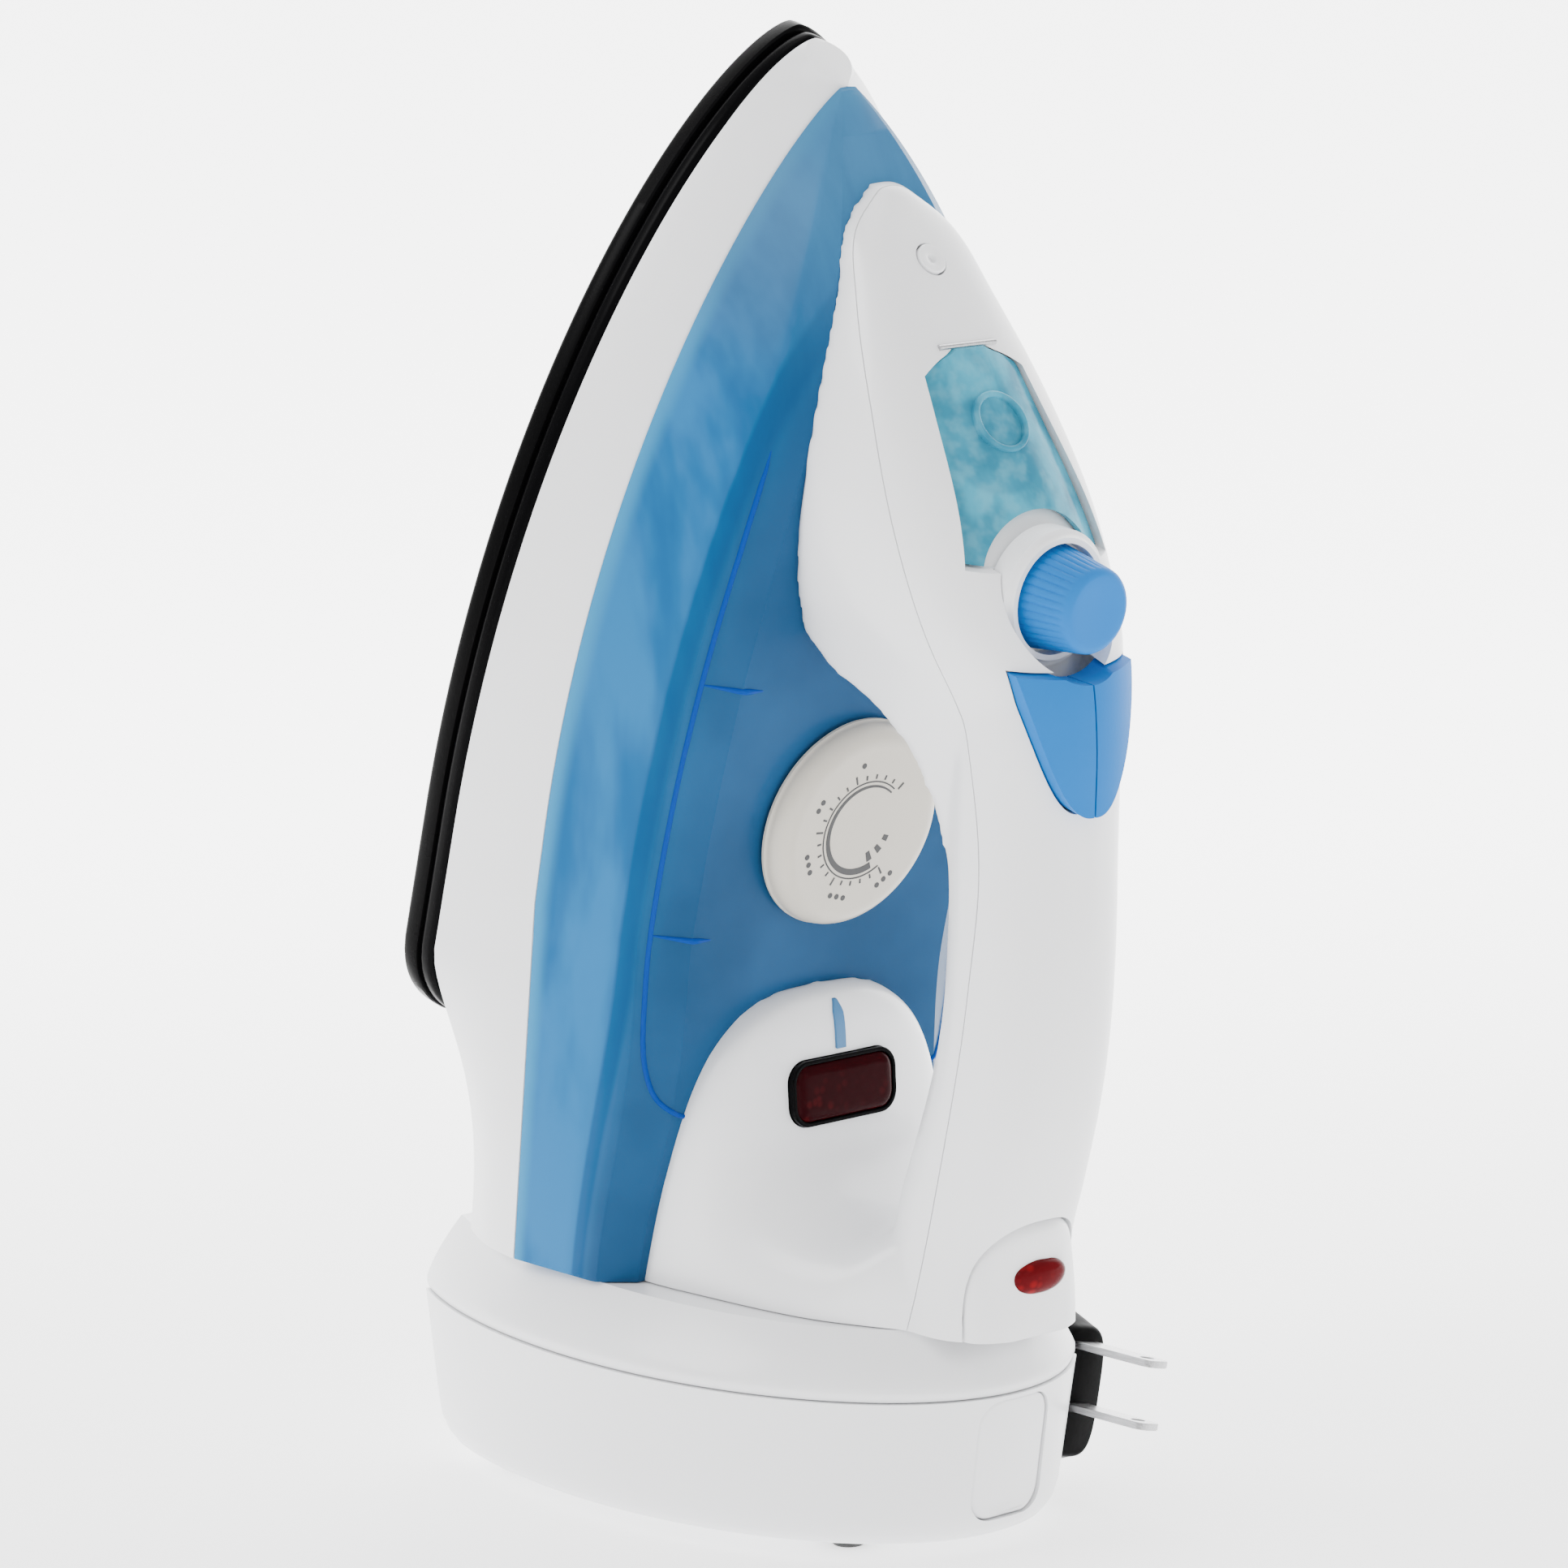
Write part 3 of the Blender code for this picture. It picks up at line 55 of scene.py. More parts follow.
ORIGIN = Vector((-0.0532 + CENTRING, 0, 0.0956))
IRON = Matrix.Translation(ORIGIN) @ Matrix((FORWARD, (0, -1, 0), UPWARD)).transposed().to_4x4()
UPRIGHT = Matrix.Identity(4)
GAP = 0.0003

SOLE_LENGTH = 0.212
SOLE_HALF_WIDTH = 0.0620
SOLE_SHARPNESS = 0.67
NOSE_RUN = 0.160
SOLE_THICKNESS = 0.0047
BAND_HEIGHT = 0.0090
BODY_REAR = -0.080
TANK_NOSE = 0.2045
TANK_HALF_WIDTH = 0.0535
TANK_FLOOR = 0.0200
TANK_FLOOR_RISE = 0.045
DECK_HEIGHT = 0.0550
DECK_REAR_RISE = 0.0040
DECK_FALL, DECK_FALL_START, DECK_FALL_RUN = 0.034, 0.100, 0.1045
SKIRT_WAIST, SKIRT_WAIST_START, SKIRT_WAIST_RUN = 0.0235, 0.025, 0.033
DIAL_CENTRE = 0.0628
DIAL_RADIUS = 0.0220
DIAL_TOP = 0.0613
HANDLE_HALF_WIDTH = 0.0175
HANDLE_HALF_HEIGHT = 0.0135
HANDLE_FRONT, HANDLE_REAR = 0.126, -0.062
POD_NOSE = 0.190
KNOB_AT = Matrix.Translation((0.1276, 0, 0.0995)) @ Matrix.Rotation(math.radians(7.6), 4, "Y")
KNOB_BASE_RADIUS, KNOB_TOP_RADIUS, KNOB_HEIGHT = 0.0105, 0.0078, 0.0130
COLLAR_RADIUS = 0.0135
BUTTON_FRONT, BUTTON_REAR, BUTTON_HALF_WIDTH = 0.1165, 0.0905, 0.0150
LID_FRONT, LID_REAR, LID_THICKNESS = 0.1665, 0.1335, 0.0020
LID_HALF_WIDTH, LID_FLARE, LID_CORNER_SHARE = 0.0115, 0.0065, 0.12
LID_CAMBER, BUTTON_CAMBER, CAP_CAMBER = 24, 22, 20.0  # drop over the square of the half width, per metre
WINDOW_SIZE = (0.0138, 0.0284)
WINDOW_AT = Matrix.Translation((0.0096, 0, 0.0687)) @ Matrix.Rotation(math.radians(17.6), 4, "Y")
NOZZLE_X, NOZZLE_TILT = 0.1795, math.radians(48)
REWIND_CENTRE, REWIND_HALF = -0.0160, (0.0240, 0.0150)
FUNNEL_SHADE_AT = Vector((0.1520, 0.0040, 0.0810))  # where the filling funnel's hollow shows through the lid, as painted shade

HEEL_FRONT, HEEL_REAR, HEEL_WIDEST = 0.067, -0.0705, -0.014
HEEL_HALF_WIDTH = 0.0515
HEEL_REAR_RUN = 0.086
HEEL_BOTTOM = 0.003
HEEL_RIM, RIM_SLOPE = 0.035, -0.020
SEAM_HEIGHT, SEAM_SLOPE = 0.0493, -0.045
NOTCH_REAR, NOTCH_FLOOR = 0.0275, 0.0275
PLUG_AT = Matrix.Translation((0.0188, 0.0381, 0.0255)) @ Matrix.Rotation(math.radians(-12), 4, "X")
PLUG_LENGTH, PLUG_DROP = 0.0165, 0.0033
PLUG_HALF_HEIGHT, PLUG_HALF_THICKNESS = 0.01455, 0.0068
BLADE_SPACING = 0.0127
BLADE_LENGTH, BLADE_WIDTH, BLADE_THICKNESS = 0.0215, 0.0063, 0.0015

RIDGE = (
    (0.190, 0.0385), (0.180, 0.051), (0.168, 0.064), (0.156, 0.0765), (0.142, 0.091), (0.129, 0.102),
    (0.118, 0.110), (0.105, 0.115), (0.090, 0.1185), (0.079, 0.121), (0.062, 0.125), (0.045, 0.128),
    (0.029, 0.1295), (0.012, 0.1295), (0.0, 0.1292), (-0.013, 0.1325), (-0.062, 0.1450),
)
SEAM = (
    (0.200, 0.030), (0.175, 0.048), (0.153, 0.067), (0.127, 0.0855), (0.105, 0.099), (0.081, 0.1095),
    (0.057, 0.1135), (0.018, 0.1155), (-0.090, 0.1155),
)
POD_WIDTH = (
    (0.190, 0.0030), (0.183, 0.0125), (0.173, 0.0168), (0.158, 0.0225), (0.144, 0.0255), (0.130, 0.0262),
    (0.117, 0.0245), (0.107, 0.0208), (0.097, 0.0182), (0.080, 0.0166), (0.060, 0.0155),
)
POD_REAR = (  # share of the height from the deck to the ridge, place of the pod's rear wall
    (1.0, 0.060), (0.75, 0.060), (0.70, 0.066), (0.66, 0.074), (0.60, 0.084), (0.49, 0.0925), (0.38, 0.0965),
    (0.28, 0.0985), (0.12, 0.101), (0.0, 0.106),
)
HOUSING_LEVELS = (  # height, front end, half width
    (0.0550, 0.0275, 0.0360), (0.0602, 0.0272, 0.0358), (0.0618, 0.0262, 0.0356), (0.0642, 0.0226, 0.0353),
    (0.0668, 0.0150, 0.0350), (0.0690, 0.0082, 0.0345),
    (0.0715, 0.0015, 0.0340), (0.0770, -0.0040, 0.0330), (0.0880, -0.0070, 0.0308), (0.0980, -0.0060, 0.0280),
    (0.1060, -0.0003, 0.0240), (0.1152, -0.0003, 0.0185),
)


# ---- Curves ----
def smooth(value):
    value = min(max(value, 0.0), 1.0)
    return value * value * (3 - 2 * value)


def mix(a, b, share):
    return a + (b - a) * share


def cubic(start, end, leaving, arriving, t):
    """Curve from start to end, with the slopes that it leaves and arrives with."""
    return (
        (2 * t**3 - 3 * t * t + 1) * start + (t**3 - 2 * t * t + t) * leaving
        + (3 * t * t - 2 * t**3) * end + (t**3 - t * t) * arriving
    )


def hermite(rows, place):
    """Smooth value at a place (0 to len - 1) along rows of equal-length tuples."""
    last = len(rows) - 1
    index = min(int(place), last - 1)
    t = place - index
    before, after = rows[max(index - 1, 0)], rows[min(index + 2, last)]
    here, there = rows[index], rows[index + 1]
    return [
        cubic(b, c, (c - a) / 2, (d - b) / 2, t) for a, b, c, d in zip(before, here, there, after)
    ]


def flow(table, x):
    """Height of a smooth line through (x, height) points in falling x."""
    if x >= table[0][0]:
        return table[0][1]
    if x <= table[-1][0]:
        return table[-1][1]
    for index, (left, right) in enumerate(zip(table, table[1:])):
        if x >= right[0]:
            break
    step = left[0] - right[0]
    before = table[max(index - 1, 0)]
    after = table[min(index + 2, len(table) - 1)]
    t = (left[0] - x) / step
    leaving = (right[1] - before[1]) / max(before[0] - right[0], 1e-9) * step
    arriving = (after[1] - left[1]) / max(left[0] - after[0], 1e-9) * step
    return cubic(left[1], right[1], leaving, arriving, t)


def flat(height):
    return lambda x: height


def between(low, high, share):
    """Height at a share of the way from one line to another."""
    return lambda x: mix(low(x), high(x), share)


def nose_curve(share, sharpness=0.78):
    share = min(max(share, 0.0), 1.0)
    return (1 - (1 - share) ** 2) ** sharpness


def sole_half_width(x):
    return SOLE_HALF_WIDTH * nose_curve((SOLE_LENGTH - x) / NOSE_RUN, SOLE_SHARPNESS)


def skirt_half_width(x):
    behind = max(SKIRT_WAIST_START - x, 0.0) / SKIRT_WAIST_RUN
    narrowing = SKIRT_WAIST * (1 - math.exp(-(behind**1.5)))
    return sole_half_width(x) - 0.0008 * smooth((SOLE_LENGTH - x) / 0.02) - narrowing


def tank_half_width(x):
    front = TANK_HALF_WIDTH * nose_curve((TANK_NOSE - x) / (NOSE_RUN - 0.010))
    return front - 0.09 * max(0.040 - x, 0.0)


def tank_floor(x):
    return TANK_FLOOR + TANK_FLOOR_RISE * (SOLE_LENGTH - x)


def deck_height(x):
    rise = DECK_REAR_RISE * smooth((0.042 - x) / 0.050)
    return DECK_HEIGHT + rise - DECK_FALL * (max(x - DECK_FALL_START, 0.0) / DECK_FALL_RUN) ** 3.2


def ridge_height(x):
    return flow(RIDGE, x)


def rim(x):
    return HEEL_RIM + RIM_SLOPE * x


def heel_seam(x):
    return SEAM_HEIGHT + SEAM_SLOPE * x


# ---- Materials ----
class Wire:
    """A node socket that can be calculated with."""

    def __init__(self, tree, socket):
        self.tree = tree
        self.socket = socket

    def node(self, kind, inputs, output=0, **settings):
        made = self.tree.nodes.new(kind)
        for key, value in settings.items():
            setattr(made, key, value)
        for key, value in inputs.items():
            if isinstance(value, Wire):
                self.tree.links.new(value.socket, made.inputs[key])
            else:
                made.inputs[key].default_value = value
        return Wire(self.tree, made.outputs[output])

    def maths(self, operation, other=0.0):
        return self.node("ShaderNodeMath", {0: self, 1: other}, operation=operation)

    def vector_maths(self, operation, other, output=0):
        return self.node("ShaderNodeVectorMath", {0: self, 1: other}, output, operation=operation)

    def __add__(self, other):
        return self.maths("ADD", other)

    __radd__ = __add__

    def __mul__(self, other):
        return self.maths("MULTIPLY", other)

    __rmul__ = __mul__

    def __sub__(self, other):
        return self.maths("SUBTRACT", other)

    def __rsub__(self, other):
        return (self * -1.0) + other

    def __truediv__(self, other):
        return self.maths("DIVIDE", other)

    def dot(self, vector):
        return self.vector_maths("DOT_PRODUCT", vector, 1)

    def scaled(self, vector):
        return self.vector_maths("MULTIPLY", vector)

    def distance(self, point):
        return self.vector_maths("DISTANCE", point, 1)

    def noise(self, scale, detail=2.0, rough=0.5):
        inputs = {"Vector": self, "Scale": scale, "Detail": detail, "Roughness": rough}
        return self.node("ShaderNodeTexNoise", inputs)

    def ramp(self, low, high):
        """0 at low, 1 at high, smooth between."""
        inputs = {"Value": self, "From Min": low, "From Max": high}
        return self.node("ShaderNodeMapRange", inputs, interpolation_type="SMOOTHSTEP")

    def blend(self, a, b):
        """Colour a where this is 0, b where it is 1."""
        a, b = (colour if isinstance(colour, Wire) else (*colour, 1) for colour in (a, b))
        return self.node("ShaderNodeMix", {0: self, 6: a, 7: b}, output=2, data_type="RGBA")


def srgb(red, green, blue):
    return tuple(((v / 255 + 0.055) / 1.055) ** 2.4 for v in (red, green, blue))


def finish(name, look, **constants):
    """A material whose look(place) gives the inputs that vary over the surface."""
    name = "look_" + name  # the frame brings materials that have the slots' own names
    if name in bpy.data.materials:
        return bpy.data.materials[name]
    made = bpy.data.materials.new(name)
    made.use_nodes = True
    tree = made.node_tree
    shader = tree.nodes["Principled BSDF"]
    for key, value in constants.items():
        shader.inputs[key.replace("_", " ").title().replace("Ior", "IOR")].default_value = value
    place = Wire(tree, tree.nodes.new("ShaderNodeTexCoord").outputs["Object"])
    for key, value in look(place).items():
        if key == "Bump":
            value = place.node("ShaderNodeBump", dict(zip(("Height", "Strength", "Distance"), value)))
            key = "Normal"
        tree.links.new(value.socket, shader.inputs[key])
    return made


def moulded(name, colour, rough, texture=0.04, coat=0.0, tone=0.04, scale=900.0, **more):
    """Moulded plastic: faint tone drift, uneven gloss and a fine skin."""

    def look(place):
        drift = place.noise(14.0, 3.0)
        grain = place.noise(scale, 3.0)
        darker = tuple(v * (1 - tone) for v in colour)
        lighter = tuple(min(v * (1 + tone), 1.0) for v in colour)
        return {
            "Base Color": drift.ramp(0.25, 0.75).blend(darker, lighter),
            "Roughness": rough + (place.noise(60.0, 4.0) - 0.5) * 0.10,
            "Bump": (grain, texture, 0.0002),
        }

    return finish(name, look, Coat_Weight=coat, Coat_Roughness=0.08, **more)


def white_plastic():
    return moulded("white_plastic", (0.88, 0.885, 0.90), 0.30, coat=0.15, tone=0.012)


def black_plastic():
    return moulded("black_plastic", (0.0015, 0.0015, 0.0018), 0.24, tone=0.2, specular_ior_level=0.03)


def coated_sole():
    return moulded(
        "coated_sole", (0.0018, 0.0018, 0.002), 0.28, texture=0.10, tone=0.3, scale=2500.0,
        specular_ior_level=0.04,
    )


def warm_white():
    return moulded("warm_white", srgb(196, 190, 178), 0.34, coat=0.05, tone=0.015)


def blue_plastic():
    return moulded("blue_plastic", srgb(14, 108, 182), 0.42, texture=0.10, tone=0.03, specular_ior_level=0.05)


def plug_pvc():
    colour = (0.0016, 0.0016, 0.0018)
    return moulded("plug_pvc", colour, 0.42, texture=0.18, tone=0.3, specular_ior_level=0.03)


def print_ink():
    return moulded("print_ink", (0.02, 0.02, 0.022), 0.45, tone=0.3)


def mark_ink():
    return moulded("mark_ink", srgb(52, 112, 160), 0.45, tone=0.05)


def metal(name, colour, rough):
    """Drawn metal with fine lines along its length."""

    def look(place):
        lines = place.scaled((60.0, 900.0, 900.0)).noise(4.0, 4.0)
        darker = tuple(v * 0.72 for v in colour)
        return {
            "Base Color": lines.ramp(0.3, 0.7).blend(darker, colour),
            "Roughness": rough + (lines - 0.5) * 0.25,
            "Bump": (lines, 0.10, 0.0001),
        }

    return finish(name, look, metallic=1.0)


def blue_tank():
    """Tinted translucent wall, with painted light: a painted highlight along its lower edge, where it is seen
    edge on, and painted shade in a middle strip beside the pod, where the water space is behind it.
    """

    def look(place):
        x = place.dot(tuple(FORWARD)) - ORIGIN.dot(FORWARD)
        z = place.dot(tuple(UPWARD)) - ORIGIN.dot(UPWARD)
        y = place.dot((0, 1, 0)).maths("ABSOLUTE")
        floor = (SOLE_LENGTH - x) * TANK_FLOOR_RISE + TANK_FLOOR
        rise = (z - floor) / (DECK_HEIGHT - floor)
        streaks = place.scaled((1.0, 3.0, 0.35)).noise(60.0, 3.0).ramp(0.35, 0.65)
        cloud = place.noise(22.0, 3.0).ramp(0.3, 0.7)
        base = cloud.blend(srgb(24, 64, 100), srgb(34, 78, 120))
        wall = streaks.blend(srgb(22, 86, 136), srgb(38, 108, 160))
        chamfer = rise.ramp(0.95, 0.55)
        body = chamfer.blend(base, wall)
        # Painted highlight: the wall is lighter along its lower edge, near the tank's floor.
        edge = rise.ramp(0.16, 0.02)
        with_edge_highlight = edge.blend(body, srgb(50, 130, 176))
        band = rise.ramp(0.66, 0.70) * rise.ramp(0.84, 0.78)
        streaked = (band * 0.55).blend(with_edge_highlight, srgb(4, 56, 102))
        nose = x.ramp(0.150, 0.196)
        milky = (nose * 0.55).blend(streaked, srgb(90, 150, 190))
        # Painted shade: darker in a middle strip beside the pod, towards the front.
        inner = y.ramp(0.036, 0.026) * x.ramp(0.085, 0.110)
        with_inner_shade = (inner * 0.45).blend(milky, srgb(26, 66, 104))
        return {
            "Base Color": with_inner_shade,
            "Roughness": 0.24 + (place.noise(40.0, 3.0) - 0.5) * 0.10,
            "Bump": (place.noise(35.0, 2.0), 0.05, 0.002),
        }

    return finish("blue_tank", look, specular_ior_level=0.05)


def tank_rib():
    return moulded("tank_rib", srgb(0, 58, 138), 0.25, tone=0.05, specular_ior_level=0.05)


def teal_lid():
    """Tinted clear lid over a white well, paler along its streaks, with painted shade where the filling
    funnel's hollow shows through it.
    """

    def look(place):
        streaks = place.scaled((1.0, 1.6, 1.0)).noise(90.0, 3.0).ramp(0.35, 0.68)
        spots = place.noise(260.0, 2.0).ramp(0.4, 0.7)
        base = streaks.blend(srgb(40, 122, 148), srgb(64, 156, 182))
        # Painted shade: darker round the filling funnel's hollow under the lid.
        funnel_shade = place.distance(tuple(IRON @ FUNNEL_SHADE_AT)).ramp(0.0110, 0.0095)
        with_funnel_shade = (funnel_shade * 0.45).blend(base, srgb(30, 104, 132))
        return {
            "Base Color": (spots * 0.30).blend(with_funnel_shade, srgb(110, 180, 200)),
            "Roughness": 0.16 + spots * 0.10,
            "Bump": (place.noise(120.0, 3.0), 0.10, 0.001),
        }

    return finish("teal_lid", look, coat_weight=0.04, coat_roughness=0.04, specular_ior_level=0.05)


def tinted_red(name, dark, light):
    """Clear red moulding with a prismatic inside that glints."""

    def look(place):
        cells = place.node("ShaderNodeTexVoronoi", {"Vector": place, "Scale": 420.0})
        glint = cells.ramp(0.5, 0.15) * place.noise(70.0).ramp(0.35, 0.7)
        return {
            "Base Color": glint.blend(dark, light),
            "Roughness": 0.12 + cells * 0.12,
            "Bump": (cells, 0.12, 0.0004),
        }

    return finish(name, look, coat_weight=0.0, coat_roughness=0.03, specular_ior_level=0.03)


def dark_red():
    return tinted_red("dark_red", (0.018, 0.001, 0.002), (0.045, 0.002, 0.003))


def red_lens():
    return tinted_red("red_lens", (0.085, 0.004, 0.006), (0.20, 0.006, 0.008))


def finish_for(slot):
    """The finish of a material slot: its own look, a drawn metal or a plain moulding."""
    looks = (
        white_plastic, black_plastic, coated_sole, warm_white, blue_plastic, plug_pvc, blue_tank, teal_lid,
        dark_red, red_lens,
    )
    for look in looks:
        if look.__name__ == slot:
            return look()
    metals = {
        "steel": (0.56, 0.56, 0.57), "cast_aluminium": (0.6, 0.6, 0.61), "brass": (0.72, 0.52, 0.24),
    }
    if slot in metals:
        return metal(slot, metals[slot], 0.32)
    glass, hose, dark = (0.85, 0.55, 0.40), (0.80, 0.82, 0.82), (0.022, 0.022, 0.022)
    shades = {"lamp_glass": glass, "neon_glass": glass, "clear_hose": hose}
    return moulded(slot, shades.get(slot, dark), 0.5, tone=0.1)


# ---- Meshes ----
def layered(levels, stations):
    """A closed hull: each level maps a station from 0 (front) to 1 (rear) to a point (x, half width, z)."""
    mesh = bmesh.new()
    left, right = [], []
    for level in levels:
        near, far = [], []
        for station in stations:
            x, y, z = level(station)
            first = mesh.verts.new((x, y, z))
            near.append(first)
            far.append(first if station == stations[0] else mesh.verts.new((x, -y, z)))
        left.append(near)
        right.append(far)
    last = len(stations) - 1
    for lower in range(len(levels) - 1):
        for side in (left, right):
            for i in range(last):
                below, above = side[lower], side[lower + 1]
                mesh.faces.new((below[i], below[i + 1], above[i + 1], above[i]))
        mesh.faces.new((left[lower][last], right[lower][last], right[lower + 1][last], left[lower + 1][last]))
    for level in (0, -1):
        near, far = left[level], right[level]
        mesh.faces.new((near[0], near[1], far[1]))
        for i in range(1, last):
            mesh.faces.new((near[i], near[i + 1], far[i + 1], far[i]))
    return closed(mesh)


def loft(rings):
    """A closed hull through rings that have the same number of points."""
    mesh = bmesh.new()
    rows = [[mesh.verts.new(point) for point in ring] for ring in rings]
    count = len(rows[0])
    for lower, upper in zip(rows, rows[1:]):
        for i in range(count):
            mesh.faces.new((lower[i], lower[(i + 1) % count], upper[(i + 1) % count], upper[i]))
    mesh.faces.new(rows[0])
    mesh.faces.new(rows[-1])
    return closed(mesh)


def closed(mesh):
    bmesh.ops.remove_doubles(mesh, verts=mesh.verts, dist=1e-6)
    bmesh.ops.recalc_face_normals(mesh, faces=mesh.faces)
    return mesh


def prism(outline, low, high, axis="Z"):
    place = {"Z": lambda u, v, w: (u, v, w), "Y": lambda u, v, w: (u, w, v)}[axis]
    return loft([[place(u, v, w) for u, v in outline] for w in (low, high)])


def turned(profile, sides=96):
    """A profile of (radius, z) points, from axis to axis or closed, turned about Z."""
    mesh = bmesh.new()
    points = [mesh.verts.new((radius, 0, z)) for radius, z in profile]
    edges = [mesh.edges.new(pair) for pair in zip(points, points[1:])]
    if profile[0][0] > 1e-7:
        edges.append(mesh.edges.new((points[-1], points[0])))
    around = {"axis": (0, 0, 1), "cent": (0, 0, 0), "angle": 2 * math.pi}
    bmesh.ops.spin(mesh, geom=points + edges, steps=sides, use_merge=True, **around)
    return closed(mesh)


def cylinder(radius, low, high, sides=96):
    return turned(((0, low), (radius, low), (radius, high), (0, high)), sides)


def moved(mesh, matrix):
    bmesh.ops.transform(mesh, matrix=matrix, verts=mesh.verts)
    return mesh


def joined(*meshes):
    whole = bmesh.new()
    for mesh in meshes:
        data = bpy.data.meshes.new("part")
        mesh.to_mesh(data)
        whole.from_mesh(data)
        bpy.data.meshes.remove(data)
    return whole


def ellipse(count, width, height, power=2.0):
    points = []
    for i in range(count):
        angle = 2 * math.pi * i / count
        c, s = math.cos(angle), math.sin(angle)
        across = width * math.copysign(abs(c) ** (2 / power), c)
        points.append((across, height * math.copysign(abs(s) ** (2 / power), s)))
    return points


def rounded(width, height, radius, steps=10):
    """Corner-rounded rectangle about the origin, as (u, v) points."""
    points = []
    for quarter, (sx, sy) in enumerate(((1, 1), (-1, 1), (-1, -1), (1, -1))):
        for step in range(steps + 1):
            angle = math.pi / 2 * (quarter + step / steps)
            across = sx * (width / 2 - radius) + radius * math.cos(angle)
            points.append((across, sy * (height / 2 - radius) + radius * math.sin(angle)))
    return points


def spread(count, bend=1.6):
    """Stations from 0 to 1, closer together near the front."""
    return [(i / count) ** bend for i in range(count + 1)]


def bare(name, mesh):
    data = bpy.data.meshes.new(name)
    mesh.to_mesh(data)
    made = bpy.data.objects.new(name, data)
    bpy.context.collection.objects.link(made)
    return made


def settled(made):
    """The object with its modifiers worked into its mesh."""
    graph = bpy.context.evaluated_depsgraph_get()
    data = bpy.data.meshes.new_from_object(made.evaluated_get(graph))
    made.modifiers.clear()
    old = made.data
    made.data = data
    bpy.data.meshes.remove(old)
    return made


def carve(made, tools, operation="DIFFERENCE", solver="MANIFOLD"):
    """Cuts or joins closed meshes, one after another."""
    helpers = []
    for index, tool in enumerate(tools):
        helper = bare(f"tool_{index}", tool)
        step = made.modifiers.new(helper.name, "BOOLEAN")
        step.operation = operation
        step.solver = solver
        step.object = helper
        helpers.append(helper)
    settled(made)
    for helper in helpers:
        bpy.data.objects.remove(helper)
    return made


def skin_over(name, mesh, voxel, passes):
    """One smooth closed skin over overlapping closed hulls, so their joins become moulded fillets."""
    made = bare(name, mesh)
    remesh = made.modifiers.new("skin", "REMESH")
    remesh.mode = "VOXEL"
    remesh.voxel_size = voxel
    relax = made.modifiers.new("relax", "SMOOTH")
    relax.factor = 0.5
    relax.iterations = passes
    return settled(made)


def piece(name, source, body, slot, replaces=(), bevel=0.0, sharp=35.0, place=IRON, look=None):
    """A finished piece: in place, shaded, with softened edges, riding on its body."""
    if isinstance(source, bpy.types.Object):
        made = source
        made.name = name
        made.data.transform(place)
    else:
        made = bare(name, moved(source, place))
    made.data.name = name
    made.data.materials.clear()
    made.data.materials.append(look or finish_for(slot))
    made.data.shade_smooth()
    made.data.set_sharp_from_angle(angle=math.radians(sharp))
    if bevel:
        edge = made.modifiers.new("edge", "BEVEL")
        edge.width = bevel
        edge.segments = 3
        edge.limit_method = "ANGLE"
        edge.angle_limit = math.radians(sharp)
        edge.use_clamp_overlap = True
        edge.harden_normals = True
    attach(made, body)
    if replaces:
        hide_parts(*replaces)
    return made


def below_seam():
    """Everything below the plane where the iron's body meets the heel, in the iron's frame."""
    far = 0.16
    outline = [(u, heel_seam(u - CENTRING) + GAP / 2) for u in (-far, far)] + [(far, -0.2), (-far, -0.2)]
    return moved(prism(outline, -0.12, 0.12, "Y"), IRON.inverted())


# ---- Sole, skirt and tank ----
def sole_level(inset, z, rear=0.0055):
    corner = 0.018
    front = SOLE_LENGTH - 2.2 * inset

    def point(station):
        x = front - (front - rear - inset) * station
        width = (SOLE_HALF_WIDTH - inset) * nose_curve((front - x) / (NOSE_RUN - 1.2 * inset), SOLE_SHARPNESS)
        into = max(rear + inset + corner - x, 0.0) / corner
        return x, width - corner * (1 - math.sqrt(max(1 - into * into, 0.0))), z

    return point


def make_sole():
    stations = sorted(set(spread(110) + [1 - 0.06 * (i / 24) ** 2 for i in range(25)]))
    edge = 0.0014
    plate = []
    for a in (0, 18, 36, 54, 72, 90):
        turn = math.radians(a)
        plate.append(sole_level(edge * (1 - math.sin(turn)), edge * (1 - math.cos(turn))))
    for inset, below_top in ((0.0, 0.0005), (0.0002, 0.0001), (0.0005, 0.0)):
        plate.append(sole_level(inset, SOLE_THICKNESS - below_top))
    sole = bare("soleplate_look", layered(plate, stations))
    mouth, bore = 0.0026, 0.0016
    profile = ((0, -0.002), (mouth, -0.002), (mouth, 0.0), (bore, 0.0010), (bore, 0.0030), (0, 0.0030))
    vents = []
    places = ((0.186, 0.0), (0.170, 0.014), (0.148, 0.024), (0.120, 0.033), (0.088, 0.038), (0.056, 0.040))
    for x, y in places:
        for side in (1, -1) if y else (1,):
            vents.append(moved(turned(profile, 32), Matrix.Translation((x, side * y, 0))))
    carve(sole, vents, solver="EXACT")
    piece("soleplate_look", sole, "iron", "coated_sole", ["soleplate"])
    low = SOLE_THICKNESS + GAP
    band = []
    for share in range(9):
        inset = 0.0004 + 0.0005 * (1 - math.sin(math.pi * share / 8)) ** 2
        band.append(sole_level(inset, mix(low, BAND_HEIGHT, share / 8)))
    ring = layered(band, stations)
    piece("sole_band_look", ring, "iron", "black_plastic", ["sole_band"])


def skirt_level(share, swell, z):
    nose = mix(SOLE_LENGTH - 0.0012, TANK_NOSE, share)

    def point(station):
        x = nose - (nose - BODY_REAR) * station
        width = mix(skirt_half_width(x + 0.0012), tank_half_width(x), share) + swell
        return x, max(width, 0.0012 * station**0.5) if station else 0.0, z(x)

    return point


